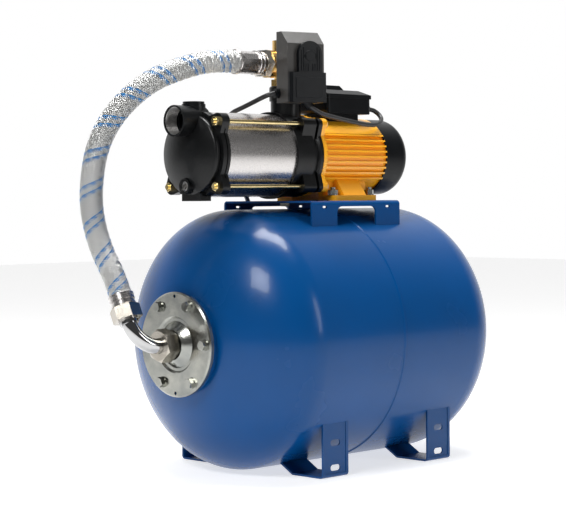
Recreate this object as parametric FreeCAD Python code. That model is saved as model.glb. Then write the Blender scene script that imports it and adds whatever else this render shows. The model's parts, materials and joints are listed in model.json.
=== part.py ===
import FreeCAD, Part
import math
import os

# Domestic booster set: a horizontal multistage centrifugal pump bolted to a horizontal membrane
# tank, with its flexible hose, brass manifold and electronic pressure controller.
# Millimetres. X runs along the pump shaft and the tank, -X is the suction end, Z is up.
# The floor is z = 0 and the whole set stands centred on the origin.

V = FreeCAD.Vector
X, Y, Z = V(1, 0, 0), V(0, 1, 0), V(0, 0, 1)

# ---------------------------------------------------------------- driving dimensions
# tank
TANK_X = 42.0            # middle of the tank, where its two shells are welded
TANK_R = 190.0           # outside radius
TANK_HALF = 161.0        # half the length of the straight barrel
HEAD_DEPTH = 108.0       # depth of each pressed head
SHEET = 2.0              # thickness of the tank's sheet
BELLY_GAP = 3.0          # floor to the lowest point of the barrel
BEAD_R = 1.4             # how far the girth weld stands out
BEAD_W = 6.0

# tank mouth, flange and membrane
MOUTH_R = 50.0
FLANGE_R = 75.0
FLANGE_RIM_T = 3.3       # the flange's edge is turned back over the collar
FLANGE_RIM_DEEP = 8.0
FLANGE_T = 3.0
LIP_T = 1.5              # rubber lip clamped between collar and flange
COLLAR_OUT = 4.0         # collar face in front of the head's crown
HUB_R = 38.5             # where the flat of the flange steps down to its hub
HUB_STEP = 3.0
HUB_TOP_R = 24.0
HUB_RISE = 7.0
BOLT_CIRCLE_R = 62.0
FLANGE_BOLTS = 6
FLANGE_BOLT_TURN = -2.3  # degrees
M8_R = 4.0
M8_AF = 13.0
M8_HEAD = 5.5
WASHER_R = 8.0
FOOT_NUT_H = 6.5
WASHER_T = 1.6
MEMBRANE_T = 2.0
MEMBRANE_R = 150.0
MEMBRANE_HALF = 215.0
NECK_R = 16.6            # 1 inch pipe thread, outside
NECK_BORE_R = 13.0
NECK_LEN = 17.0

# air valve at the far end
AIR_STEM_R = 5.0
AIR_STEM_LEN = 16.0
AIR_BORE_R = 2.6
AIR_CORE_R = 2.5
AIR_CAP_R = 14.0
AIR_CAP_LEN = 22.0

# feet: one bent strap each
FOOT_W = 52.0
FOOT_T = 3.0
FOOT_X = 112.5           # foot centre from the middle of the two
FOOT_SHIFT = 4.0         # that middle from the tank's middle
FOOT_RIM = 5.0           # plain edge round the pressed panel of each leg
FOOT_PRESS = 0.8         # depth of that panel
FOOT_LEG_Y = 152.0
FOOT_SOLE_Y = 89.0
FOOT_BELLY_Y = 60.0
FOOT_SLOT_L = 20.0
FOOT_SLOT_W = 9.0
FOOT_SLOT_LOW = 14.0
FOOT_SLOT_HIGH = 50.0

# pump platform welded on the tank
PLATFORM_T = 3.0
PLATFORM_HALF_L = 94.7
PLATFORM_HALF_W = 94.3
PLATFORM_RISE = 12.0     # its top above the tank's crest
PLATFORM_BEND = 6.0
CUT_HALF_L = 42.0
CUT_BELOW = 8.5
CUT_CORNER = 10.0
VENT_X = 68.0
VENT_L = 9.0
VENT_W = 3.0

# pump, from the joint between pump casing and motor
JOINT_X = TANK_X - 35.0
SLEEVE_L = 133.0
SLEEVE_R = 61.0
SLEEVE_T = 1.5
CASING_L = 56.0
CASING_R = SLEEVE_R + 3.5
CASING_LIFT = 3.0        # platform to the lowest point of the casing
SHAFT_H = CASING_R + CASING_LIFT
SEAT_DEPTH = 6.0         # how deep the sleeve sits in each casting
COVER_FLANGE_T = 14.0
COVER_FLANGE_R = SLEEVE_R + 2.0
COVER_DISC_R = SLEEVE_R - 3.5
GROOVE_W = 2.0           # groove round the cover's flange
GROOVE_DEEP = 1.5
COVER_DISC_T = 8.0
COVER_DOME = 13.0
COVER_WALL = 6.0
ROD_R = 3.2
ROD_GAP = 3.8            # between the sleeve and each rod
ROD_ANGLE = 42.6         # degrees above the horizontal
ROD_CLEAR = 0.5
LUG_R = 11.5
LUG_ROOT = 0.5           # where a lug's web starts, as a share of the way from the axis
ROD_NUT_AF = 12.0
ROD_NUT_L = 6.0
SUCTION_UP = SLEEVE_R - 14.0     # suction axis above the shaft
SUCTION_R = 22.3
SUCTION_BORE_R = 19.6    # 1 1/4 inch pipe thread
SUCTION_BORE_L = 24.0
SUCTION_OUT = 16.0       # lip in front of the dome's crown
PLUG_BOSS_R = 17.0
PLUG_BOSS_UP = 24.5      # its face above the suction axis
PLUG_R = 7.0
PLUG_FIT = 0.05
PLUG_SEAT = 0.3          # gap under the plug's head
PLUG_HEAD_R = 15.5
PLUG_HEAD_T = 3.5
PLUG_DEEP = 8.0          # how far its thread goes into the boss
DRAIN_DOWN = SLEEVE_R - 15.5
DRAIN_BOSS_R = 11.0
DRAIN_HOLE_R = 7.6
DRAIN_LEN = 9.0
PAD_HALF_Y = 20.0
OUTLET_BACK = 19.0       # outlet axis in front of the motor joint
OUTLET_R = 24.5
OUTLET_UP = CASING_R + 39.0      # outlet face above the shaft
OUTLET_BORE_R = 16.7
OUTLET_SEAT = 18.0       # thread depth in the outlet

# hydraulics inside the sleeve
STAGES = 4
STAGE_GAP = 0.5
IMPELLER_R = 44.0
IMPELLER_W = 9.0
IMPELLER_EYE_R = 18.0
HUB_OUT_R = 13.0
BLADES = 6
DIFFUSER_CLEAR = 0.6
SHAFT_R = 7.0
RUN_FIT = 0.05           # radial clearance of every running fit
SEAL_R = 15.0
SEAL_LEN = 14.0
SEAT_LEN = 6.0

# motor
MOTOR_CORE_R = 55.0
MOTOR_L = 141.0          # housing length behind the joint
MOTOR_FLANGE_T = 7.0
MOTOR_FLANGE_R = CASING_R - 2.5
MOTOR_WALL = 6.0
FIN_R = 60.5
FIN_T = 2.6
FIN_PITCH = 8.2
FINS = 9
FIN_TOP = 31.5
CROWN_R = 59.0
CROWN_FROM = 33.5
STATOR_L = 70.0
STATOR_BORE_R = 27.4
AIR_GAP = 0.4
JOURNAL_R = 8.5
BEARING_R = 20.0
BEARING_W = 12.0
FEET_L = 92.0
FEET_BACK = 67.0         # middle of the feet behind the joint
FEET_HALF_W = 64.0
FEET_INNER = 34.0
FEET_T = 8.0
FEET_BOLT_Y = 52.0
FEET_BOLT_X = 39.5
FEET_HOLE_R = 4.5
WEB_TOP_L = 48.0
FAN_HUB_R = 14.0
FAN_R = 50.0
FAN_W = 20.0
FAN_BLADES = 8
FAN_SPACE = 14.0
FAN_COVER_R = 58.5
FAN_COVER_L = 54.0
FAN_COVER_T = 2.0
FAN_COVER_ROUND = 16.0

# terminal box
BOX_L = 96.0
BOX_IN = 15.0            # its end in front of the motor's end
BOX_HALF_W = 40.0
BOX_FLOOR = 64.0         # underside above the shaft
BOX_TOP = 87.5           # joint with the lid above the shaft
BOX_WALL = 2.5
BOX_NECK_HALF_W = 27.0   # the narrower neck that stands on the motor's crown
BOX_NECK_IN = 16.0
LID_OVERHANG = 1.5
TERMINAL_BLOCK_H = 9.0
LID_EDGE = 6.0           # upright edge of the lid, then its slope
LID_SLOPE_UP = 7.0
LID_SLOPE_IN = 14.0
HUMP_L = 72.0
HUMP_Y0 = -8.0
HUMP_Y1 = 24.0
HUMP_UP = 109.0
BOX_GLAND_Y = -26.0
BOX_GLAND_UP = 73.0      # above the shaft
CAPACITOR_R = 11.0
CAPACITOR_L = 55.0

# brass manifold on the outlet
MANIFOLD_RISE = 32.1     # hose branch above the outlet's face
MANIFOLD_R = 20.0
MANIFOLD_TOP = 36.0      # delivery face above the hose branch
BRANCH_OUT = 41.0
BRANCH_RING_R = 20.5
BRANCH_RING_L = 14.0
FRONT_BOSS_R = 12.0
FRONT_BOSS_OUT = 28.0
DELIVERY_BORE_R = 15.3
DELIVERY_LEN = 16.0

# hose and its ends
HOSE_R = 16.5
ELBOW_R = 10.7
ELBOW_WALL = 1.5
ELBOW_BEND = 38.0
ELBOW_TURN = 26.0        # degrees from upright, towards +Y
ELBOW_COLLAR_R = 15.0
ELBOW_COLLAR_T = 3.0
UNION_AF = 42.0
UNION_L = 20.0
FERRULE_R = 17.6
FERRULE_LONG = 50.0
FERRULE_SHORT = 18.0
HOSE_NUT_AF = 38.0
HOSE_NUT_L = 12.0
LOW_NUT_L = 20.0
NUT_GAP = 0.3            # nut to the ferrule behind it

# pressure controller, square to a line turned from -Y towards the suction end
CTRL_TURN = -15.0
CTRL_ASIDE = -12.0       # its middle from its stem
CTRL_BACK = 45.0         # its back from the manifold's axis
CTRL_W = 61.0
CTRL_D = 37.0
CTRL_BOTTOM = 75.5       # above the shaft
CTRL_TOP = 179.0
CTRL_WALL = 2.5
CTRL_TOP_D = 19.0        # depth at the top of the sloped face
SLOPE_FROM = 161.0       # where the front starts to lean back
LOWER_TOP = 119.0        # top of the wide lower half of the black cover
COVER_T = 9.0
ARCH_ASIDE = 4.0         # the arch from the controller's middle
ARCH_R = 19.5
ARCH_TOP = 164.5
BUTTON_R = 8.0
BUTTON_CLEAR = 0.3
STEM_R = 9.0

# cables
CABLE_R = 3.5
GLAND_R = 7.0
GLAND_L = 6.0
GLAND_X = 12.0           # the motor cable's outlet, right of the controller's middle
GLAND_TILT = 45.0        # how far it leans towards the motor
COIL_MID_R = 40.0
COIL_TURNS_WIDE = 2
COIL_TURNS_HIGH = 2
PIN_R = 2.4
PIN_L = 19.0

# ---------------------------------------------------------------- levels and stations
TANK_Z = BELLY_GAP + TANK_R
CROWN_X = TANK_X - TANK_HALF - HEAD_DEPTH
COLLAR_FACE = CROWN_X - COLLAR_OUT
FLANGE_BACK = COLLAR_FACE - LIP_T
FLANGE_FACE = FLANGE_BACK - FLANGE_T
PLATFORM_Z = TANK_Z + TANK_R + PLATFORM_RISE
AXIS = PLATFORM_Z + SHAFT_H
CASING_X = JOINT_X - CASING_L
SLEEVE_FRONT = CASING_X - SLEEVE_L
FLANGE2_BACK = SLEEVE_FRONT
FLANGE2_FRONT = FLANGE2_BACK - COVER_FLANGE_T
DISC_FRONT = FLANGE2_FRONT - COVER_DISC_T
DOME_X = DISC_FRONT - COVER_DOME
DRAIN_FACE = DOME_X + 2.0
SUCTION_LIP = DOME_X - SUCTION_OUT
SUCTION_Z = AXIS + SUCTION_UP
MOTOR_END = JOINT_X + MOTOR_L
FEET_MID = JOINT_X + FEET_BACK
STATOR_MID = JOINT_X + MOTOR_L / 2 + 4.0
OUTLET_X = JOINT_X - OUTLET_BACK
OUTLET_Z = AXIS + OUTLET_UP
HOSE_Z = OUTLET_Z + MANIFOLD_RISE
BEARING_SEAT_FRONT = JOINT_X + 4.0
FAN_X = MOTOR_END + FAN_SPACE
ROD_BACK = CASING_X + 40.0
ROD_CIRCLE_R = SLEEVE_R + ROD_GAP + ROD_R


# ---------------------------------------------------------------- small helpers
def xcyl(x0, x1, r, y=0.0, z=AXIS):
    return Part.makeCylinder(r, x1 - x0, V(x0, y, z), X)


def zcyl(z0, z1, r, x, y=0.0):
    return Part.makeCylinder(r, z1 - z0, V(x, y, z0), Z)


def xring(x0, x1, r_out, r_in, y=0.0, z=AXIS):
    return xcyl(x0, x1, r_out, y, z).cut(xcyl(x0 - 1, x1 + 1, r_in, y, z))


def block(x0, x1, y0, y1, z0, z1):
    return Part.makeBox(x1 - x0, y1 - y0, z1 - z0, V(x0, y0, z0))


def hexagon(flats, length, base, axis, turn=0.0):
    """A hexagonal prism, measured across its flats."""
    corner = flats / math.sqrt(3)
    points = [V(corner * math.cos(math.radians(60 * k + turn)),
                corner * math.sin(math.radians(60 * k + turn)), 0) for k in range(7)]
    prism = Part.Face(Part.makePolygon(points)).extrude(V(0, 0, length))
    prism.Placement = FreeCAD.Placement(base, FreeCAD.Rotation(Z, axis))
    return prism


def spun(outline, z=AXIS):
    """A solid of revolution about the line along X at height z, from (x, radius) points."""
    points = [V(x, 0, z + r) for x, r in outline]
    face = Part.Face(Part.makePolygon(points + points[:1]))
    return face.revolve(V(0, 0, z), X, 360)


def strip(path, thickness, x0, x1):
    """A bent strap: a line of (y, z) points thickened to its left, then drawn out along X."""
    sides = []
    for (y0, z0), (y1, z1) in zip(path, path[1:]):
        length = math.hypot(y1 - y0, z1 - z0)
        sides.append((-(z1 - z0) / length, (y1 - y0) / length))
    inner = []
    for k, (y, z) in enumerate(path):
        a, b = sides[max(k - 1, 0)], sides[min(k, len(sides) - 1)]
        reach = thickness / (1 + a[0] * b[0] + a[1] * b[1])
        inner.append((y + (a[0] + b[0]) * reach, z + (a[1] + b[1]) * reach))
    points = [V(x0, y, z) for y, z in path + inner[::-1]]
    return Part.Face(Part.makePolygon(points + points[:1])).extrude(V(x1 - x0, 0, 0))


def edges_along(shape, axis, keep):
    """Straight edges parallel to an axis whose middle passes a test."""
    found = []
    for edge in shape.Edges:
        if isinstance(edge.Curve, Part.Line) and abs(edge.tangentAt(edge.FirstParameter).dot(axis)) > 0.999:
            if keep(edge.CenterOfMass):
                found.append(edge)
    return found


def frustum(low, high):
    """A block with flat sides between two rectangles (x0, x1, y0, y1, z)."""
    rings = []
    for x0, x1, y0, y1, z in (low, high):
        rings.append([V(x0, y0, z), V(x1, y0, z), V(x1, y1, z), V(x0, y1, z)])
    a, b = rings
    sides = [[a[k], a[(k + 1) % 4], b[(k + 1) % 4], b[k]] for k in range(4)]
    faces = [Part.Face(Part.makePolygon(loop + loop[:1])) for loop in [a[::-1], b] + sides]
    return Part.Solid(Part.makeShell(faces))


def slot_along_x(x, z, length, width, y0, y1):
    half = (length - width) / 2
    body = block(x - half, x + half, y0, y1, z - width / 2, z + width / 2)
    for side in (-half, half):
        body = body.fuse(Part.makeCylinder(width / 2, y1 - y0, V(x + side, y0, z), Y))
    return body


def save(name, shape):
    pieces = shape if isinstance(shape, list) else [shape]
    solids = [s for piece in pieces for s in piece.Solids]
    out = solids[0] if len(solids) == 1 else Part.makeCompound(solids)
    out.exportStep("parts/" + name + ".step")


# ---------------------------------------------------------------- tank
def half_ellipse(end_x, side, r, depth):
    """Quarter of an ellipse, from the top of the barrel's end to the crown."""
    middle = V(end_x, 0, TANK_Z)
    tips = [middle + V(0, 0, r), middle + V(side * depth, 0, 0)]
    if depth > r:
        tips.reverse()
    curve = Part.Ellipse(tips[0], tips[1], middle)
    return Part.Edge(curve, 0, math.pi / 2)


def capsule(half, r, depth):
    """A closed barrel with two elliptical heads about the tank's axis."""
    left, right = TANK_X - half, TANK_X + half
    outline = [half_ellipse(left, -1, r, depth), half_ellipse(right, 1, r, depth),
               Part.makeLine(V(left, 0, TANK_Z + r), V(right, 0, TANK_Z + r)),
               Part.makeLine(V(left - depth, 0, TANK_Z), V(right + depth, 0, TANK_Z))]
    face = Part.Face(Part.Wire(Part.sortEdges(outline)[0]))
    return face.revolve(V(0, 0, TANK_Z), X, 360)


def make_tank():
    far = 2 * (TANK_HALF + HEAD_DEPTH)
    skin = capsule(TANK_HALF, TANK_R, HEAD_DEPTH)
    hollow = capsule(TANK_HALF, TANK_R - SHEET, HEAD_DEPTH - SHEET)
    shell = skin.cut(hollow)
    front = shell.common(block(TANK_X - far, TANK_X, -far, far, TANK_Z - far, TANK_Z + far))
    front = front.cut(xcyl(CROWN_X - 1, TANK_X - TANK_HALF, MOUTH_R, 0, TANK_Z))
    save("tank_front_shell", front)

    rear = shell.common(block(TANK_X, TANK_X + far, -far, far, TANK_Z - far, TANK_Z + far))
    bead = spun([(TANK_X - BEAD_W / 2, TANK_R), (TANK_X - BEAD_W / 5, TANK_R + BEAD_R),
                 (TANK_X + BEAD_W / 5, TANK_R + BEAD_R), (TANK_X + BEAD_W / 2, TANK_R)], TANK_Z)
    end_x = TANK_X + TANK_HALF + HEAD_DEPTH
    rear = rear.fuse(bead).cut(xcyl(end_x - 2 * SHEET, end_x + 1, AIR_STEM_R, 0, TANK_Z))
    save("tank_rear_shell", rear)
    return skin


def bolt_spots(radius, count, turn):
    angles = [math.radians(turn + 360.0 * k / count) for k in range(count)]
    return [(radius * math.cos(a), TANK_Z + radius * math.sin(a)) for a in angles]


def hex_head(flats, height, base, axis, turn=0.0):
    """A bolt head or nut with its outer corners turned off."""
    corner = flats / math.sqrt(3)
    cone_h = corner - flats / 2 + 0.2
    turned = Part.makeCylinder(corner, height - cone_h * 0.6)
    turned = turned.fuse(Part.makeCone(corner, corner - cone_h, cone_h * 0.6,
                                       V(0, 0, height - cone_h * 0.6)))
    turned.Placement = FreeCAD.Placement(base, FreeCAD.Rotation(Z, axis))
    return hexagon(flats, height, base, axis, turn).common(turned)


def make_mouth(skin):
    spots = bolt_spots(BOLT_CIRCLE_R, FLANGE_BOLTS, FLANGE_BOLT_TURN)
    collar_r = FLANGE_R - FLANGE_RIM_T - LIP_T / 3
    collar = xring(COLLAR_FACE, CROWN_X + HEAD_DEPTH / 3, collar_r, MOUTH_R, 0, TANK_Z).cut(skin)
    lip_in, lip_out = MOUTH_R - 4.0, MOUTH_R + 5.0
    f, b = FLANGE_FACE, FLANGE_BACK
    rise, well, rim = HUB_RISE, HUB_STEP, f + FLANGE_RIM_DEEP
    flange = spun([(f, FLANGE_R - 2), (f, HUB_R + 2), (f + well, HUB_R - 1), (f + well, HUB_R - 5),
                   (f - rise + 2, HUB_TOP_R + 1), (f - rise, HUB_TOP_R - 2), (f - rise, NECK_R),
                   (f - rise - NECK_LEN + 1, NECK_R), (f - rise - NECK_LEN, NECK_R - 1),
                   (f - rise - NECK_LEN, NECK_BORE_R), (b - rise, NECK_BORE_R),
                   (b - rise, HUB_TOP_R - 4), (b + well, HUB_R - 6), (b + well, HUB_R), (b, HUB_R + 3),
                   (b, FLANGE_R - FLANGE_RIM_T), (rim, FLANGE_R - FLANGE_RIM_T), (rim, FLANGE_R - 1),
                   (rim - 1, FLANGE_R), (f + 2, FLANGE_R)], TANK_Z)
    inner_edge = BOLT_CIRCLE_R - M8_R
    tail = CROWN_X + HEAD_DEPTH * (1 - math.sqrt(1 - (inner_edge / TANK_R) ** 2)) - 1
    bolts = []
    for y, z in spots:
        hole = xcyl(f - rise, tail, M8_R, y, z)
        flange = flange.cut(hole)
        collar = collar.cut(hole)
        head = hex_head(M8_AF, M8_HEAD, V(f - WASHER_T, y, z), -X, 17 * y)
        washer = xcyl(f - WASHER_T, f, WASHER_R, y, z)
        bolts.append(head.fuse([washer, xcyl(f, tail, M8_R, y, z)]).removeSplitter())
    for side in (-1, 1):
        flange = flange.cut(xcyl(f - 1, b + 1, 2.5, 0, TANK_Z + side * (FLANGE_R - 6)))
    save("tank_collar", collar)
    save("tank_flange", flange)
    save("flange_bolts", bolts)

    bag = capsule(1.0, MEMBRANE_R, MEMBRANE_HALF).fuse(
        xcyl(b, TANK_X - MEMBRANE_HALF / 2, lip_in + MEMBRANE_T, 0, TANK_Z))
    inside = capsule(1.0, MEMBRANE_R - MEMBRANE_T, MEMBRANE_HALF - MEMBRANE_T).fuse(
        xcyl(b - 1, TANK_X - MEMBRANE_HALF / 2, lip_in, 0, TANK_Z))
    lip = xring(b, COLLAR_FACE, lip_out, lip_in, 0, TANK_Z)
    save("membrane", bag.cut(inside).fuse(lip).removeSplitter())


def make_air_valve():
    wall = TANK_X + TANK_HALF + HEAD_DEPTH
    stem = xcyl(wall - 2 * SHEET, wall + AIR_STEM_LEN, AIR_STEM_R, 0, TANK_Z)
    stem = stem.fuse(xcyl(wall - 2 * SHEET - 2, wall - 2 * SHEET, AIR_STEM_R + 2, 0, TANK_Z))
    bore = xcyl(wall - 2 * SHEET - 3, wall + AIR_STEM_LEN + 1, AIR_BORE_R, 0, TANK_Z)
    save("air_valve", stem.cut(bore))
    tip = wall + AIR_STEM_LEN
    core = xcyl(wall, tip - 4, AIR_CORE_R, 0, TANK_Z)
    core = core.fuse(xcyl(tip - 4, tip - 0.5, AIR_CORE_R / 3, 0, TANK_Z))
    save("air_valve_core", core)
    cap = xcyl(wall + 3, wall + 3 + AIR_CAP_LEN, AIR_CAP_R, 0, TANK_Z)
    rim = [e for e in cap.Edges if abs(e.CenterOfMass.x - wall - 3 - AIR_CAP_LEN) < 0.01]
    cap = cap.makeFillet(3.0, rim)
    hole = xcyl(wall, wall + AIR_CAP_LEN - 1, AIR_STEM_R + RUN_FIT, 0, TANK_Z)
    save("air_valve_cap", cap.cut(hole))


def make_feet(skin):
    middle = TANK_X + FOOT_SHIFT
    for place, x in (("front", middle - FOOT_X), ("rear", middle + FOOT_X)):
        for side, sign in (("near", -1), ("far", 1)):
            top = TANK_Z - math.sqrt(TANK_R ** 2 - FOOT_LEG_Y ** 2) + 6
            belly = TANK_Z - math.sqrt(TANK_R ** 2 - FOOT_BELLY_Y ** 2) + 4
            path = [(FOOT_BELLY_Y, belly), (FOOT_SOLE_Y, 0.0), (FOOT_LEG_Y, 0.0),
                    (FOOT_LEG_Y, top)]
            strap = strip(path, FOOT_T, x - FOOT_W / 2, x + FOOT_W / 2)
            heel = edges_along(strap, X, lambda p: abs(p.y - FOOT_LEG_Y) < 0.1 and p.z < 1)
            toe = edges_along(strap, X, lambda p: abs(p.y - FOOT_SOLE_Y) < 0.1 and p.z < 1)
            strap = strap.makeFillet(2 * FOOT_T, heel + toe)
            panel = block(x - FOOT_W / 2 + FOOT_RIM, x + FOOT_W / 2 - FOOT_RIM,
                          FOOT_LEG_Y - FOOT_PRESS, FOOT_LEG_Y + 1, 2 * FOOT_T, top - FOOT_RIM)
            strap = strap.cut(panel)
            for z in (FOOT_SLOT_LOW, FOOT_SLOT_HIGH):
                strap = strap.cut(slot_along_x(x, z, FOOT_SLOT_L, FOOT_SLOT_W,
                                               FOOT_LEG_Y - 2 * FOOT_T, FOOT_LEG_Y + 1))
            if sign < 0:
                strap = strap.mirror(V(0, 0, 0), Y)
            save("foot_" + place + "_" + side, strap.cut(skin))


def foot_bolt_spots():
    return [(FEET_MID + sx * FEET_BOLT_X, sy * FEET_BOLT_Y) for sx in (-1, 1) for sy in (-1, 1)]


def make_platform(skin):
    x0, x1 = TANK_X - PLATFORM_HALF_L, TANK_X + PLATFORM_HALF_L
    w, low = PLATFORM_HALF_W, TANK_Z + math.sqrt(TANK_R ** 2 - PLATFORM_HALF_W ** 2) - 4
    path = [(w, low), (w, PLATFORM_Z), (-w, PLATFORM_Z), (-w, low)]
    body = strip(path, PLATFORM_T, x0, x1)
    bends = edges_along(body, X, lambda p: abs(abs(p.y) - w) < 0.1 and p.z > PLATFORM_Z - 0.1)
    body = body.makeFillet(PLATFORM_BEND, bends)
    cut = block(TANK_X - CUT_HALF_L, TANK_X + CUT_HALF_L, -w - 1, w + 1, low - 20,
                PLATFORM_Z - CUT_BELOW)
    corners = edges_along(cut, Y, lambda p: p.z > PLATFORM_Z - CUT_BELOW - 0.1)
    body = body.cut(cut.makeFillet(CUT_CORNER, corners))
    for side in (-1, 1):
        body = body.cut(slot_along_x(TANK_X + side * VENT_X, PLATFORM_Z - PLATFORM_BEND - 3,
                                     VENT_L, VENT_W, -w - 1, w + 1))
    for x, y in foot_bolt_spots():
        body = body.cut(zcyl(PLATFORM_Z - PLATFORM_T - 1, PLATFORM_Z + 1, FEET_HOLE_R, x, y))
    save("pump_platform", body.cut(skin))
    bolts, nuts = [], []
    seat, under = PLATFORM_Z + FEET_T, PLATFORM_Z - PLATFORM_T
    nut_z = seat + WASHER_T
    for x, y in foot_bolt_spots():
        head = hex_head(M8_AF, M8_HEAD, V(x, y, under), -Z, 11 * x)
        shank = zcyl(under, nut_z + FOOT_NUT_H + M8_R, M8_R, x, y)
        bolts.append(head.fuse(shank).removeSplitter())
        nut = hex_head(M8_AF, FOOT_NUT_H, V(x, y, nut_z), Z, 23 * x)
        nut = nut.fuse(zcyl(seat, nut_z, WASHER_R, x, y))
        nuts.append(nut.cut(zcyl(seat - 1, nut_z + FOOT_NUT_H + 1, M8_R, x, y)).removeSplitter())
    save("foot_bolts", bolts)
    save("foot_nuts", nuts)


# ---------------------------------------------------------------- pump end
def rod_spots():
    angle = math.radians(ROD_ANGLE)
    across, above = ROD_CIRCLE_R * math.cos(angle), ROD_CIRCLE_R * math.sin(angle)
    return [(sy * across, AXIS + sz * above) for sy in (-1, 1) for sz in (-1, 1)]


def lug(x0, x1, y, z, r):
    """A round lug and the web that runs from it tangentially to the round body."""
    root_y, root_z = y * LUG_ROOT, AXIS + (z - AXIS) * LUG_ROOT
    reach = math.hypot(y - root_y, z - root_z)
    root_r = SLEEVE_R - reach
    lean = math.asin((root_r - r) / reach)
    heading = math.atan2(z - root_z, y - root_y)
    points = []
    for side in (1, -1):
        a = heading + side * (math.pi / 2 - lean)
        edge = [V(x0, root_y + root_r * math.cos(a), root_z + root_r * math.sin(a)),
                V(x0, y + r * math.cos(a), z + r * math.sin(a))]
        points += edge if side > 0 else edge[::-1]
    web = Part.Face(Part.makePolygon(points + points[:1])).extrude(V(x1 - x0, 0, 0))
    return web.fuse(xcyl(x0, x1, r, y, z))


def lug_zone(x0):
    """The space round each lug, which the groove leaves alone."""
    rings = [xcyl(x0, x0 + COVER_FLANGE_T, LUG_R + 2, y, z) for y, z in rod_spots()]
    return rings[0].fuse(rings[1:])


def make_suction_cover():
    cap_r = (COVER_DISC_R ** 2 + COVER_DOME ** 2) / (2 * COVER_DOME)
    disc = xcyl(DOME_X, FLANGE2_FRONT, COVER_DISC_R)
    disc = disc.common(Part.makeSphere(cap_r, V(DOME_X + cap_r, 0, AXIS)))
    rim = [e for e in disc.Edges if abs(e.CenterOfMass.x - DISC_FRONT) < 0.3 and e.Closed]
    body = disc.makeFillet(4.0, rim)
    body = body.fuse(xcyl(FLANGE2_FRONT, FLANGE2_BACK, COVER_FLANGE_R))
    for y, z in rod_spots():
        body = body.fuse(lug(FLANGE2_FRONT, FLANGE2_BACK, y, z, LUG_R))
    middle = (FLANGE2_FRONT + FLANGE2_BACK) / 2
    body = body.cut(xring(middle, middle + GROOVE_W, COVER_FLANGE_R + LUG_R,
                          COVER_FLANGE_R - GROOVE_DEEP).cut(lug_zone(middle - 1)))
    body = body.fuse(block(FLANGE2_FRONT - 6, FLANGE2_BACK, -PAD_HALF_Y, PAD_HALF_Y,
                           PLATFORM_Z + 1, AXIS - COVER_FLANGE_R + 8))
    body = body.fuse(xcyl(SUCTION_LIP, FLANGE2_BACK, SUCTION_R, 0, SUCTION_Z))
    plug_x = FLANGE2_FRONT + 0.5
    body = body.fuse(zcyl(SUCTION_Z, SUCTION_Z + PLUG_BOSS_UP, PLUG_BOSS_R, plug_x))
    body = body.fuse(xcyl(DRAIN_FACE, FLANGE2_FRONT, DRAIN_BOSS_R, 0, AXIS - DRAIN_DOWN))
    seat = FLANGE2_BACK - SEAT_DEPTH
    cavity = xcyl(DISC_FRONT + 2, seat, COVER_DISC_R - COVER_WALL)
    body = body.cut(cavity.fuse(xcyl(seat, FLANGE2_BACK + 1, SLEEVE_R)))
    body = body.cut(xcyl(SUCTION_LIP - 1, SUCTION_LIP + SUCTION_BORE_L, SUCTION_BORE_R, 0, SUCTION_Z))
    body = body.cut(xcyl(SUCTION_LIP, seat - 2, SUCTION_BORE_R - 3.5, 0, SUCTION_Z))
    body = body.cut(xcyl(DRAIN_FACE - 1, DISC_FRONT + 4, DRAIN_HOLE_R, 0, AXIS - DRAIN_DOWN))
    face = SUCTION_Z + PLUG_BOSS_UP
    body = body.cut(zcyl(face - PLUG_DEEP - 2, face + 1, PLUG_R + PLUG_FIT, plug_x))
    body = body.cut(xcyl(FLANGE2_BACK, FLANGE2_BACK + PLUG_BOSS_R, SLEEVE_R + ROD_CLEAR))
    for y, z in rod_spots():
        body = body.cut(xcyl(FLANGE2_FRONT - 1, FLANGE2_BACK + 1, ROD_R + ROD_CLEAR, y, z))
    save("suction_cover", body.removeSplitter())

    plug = zcyl(face + PLUG_SEAT, face + PLUG_HEAD_T, PLUG_HEAD_R, plug_x)
    plug = plug.fuse(zcyl(face - PLUG_DEEP, face + PLUG_SEAT, PLUG_R, plug_x))
    socket = hexagon(8.0, PLUG_HEAD_T + 3, V(plug_x, 0, face - 2), Z)
    save("filler_plug", plug.cut(socket).removeSplitter())
    front = DRAIN_FACE + 2.5
    drain = xcyl(front, front + DRAIN_LEN, DRAIN_HOLE_R - PLUG_FIT, 0, AXIS - DRAIN_DOWN)
    key = hexagon(8.0, DRAIN_LEN - 3, V(front + DRAIN_LEN - 3, 0, AXIS - DRAIN_DOWN), -X)
    save("drain_plug", drain.cut(key))


def make_sleeve_and_rods():
    front, back = SLEEVE_FRONT - SEAT_DEPTH, CASING_X + SEAT_DEPTH
    save("outer_sleeve", xring(front, back, SLEEVE_R, SLEEVE_R - SLEEVE_T))
    rods = [xcyl(FLANGE2_FRONT - ROD_NUT_L - 3, ROD_BACK, ROD_R, y, z) for y, z in rod_spots()]
    save("tie_rods", rods)
    nuts = []
    for k, (y, z) in enumerate(rod_spots()):
        nut = hex_head(ROD_NUT_AF, ROD_NUT_L, V(FLANGE2_FRONT, y, z), -X, 9 + 21 * k)
        nuts.append(nut.cut(xcyl(FLANGE2_FRONT - ROD_NUT_L - 1, FLANGE2_FRONT + 1, ROD_R, y, z)))
    save("tie_rod_nuts", nuts)


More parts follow.
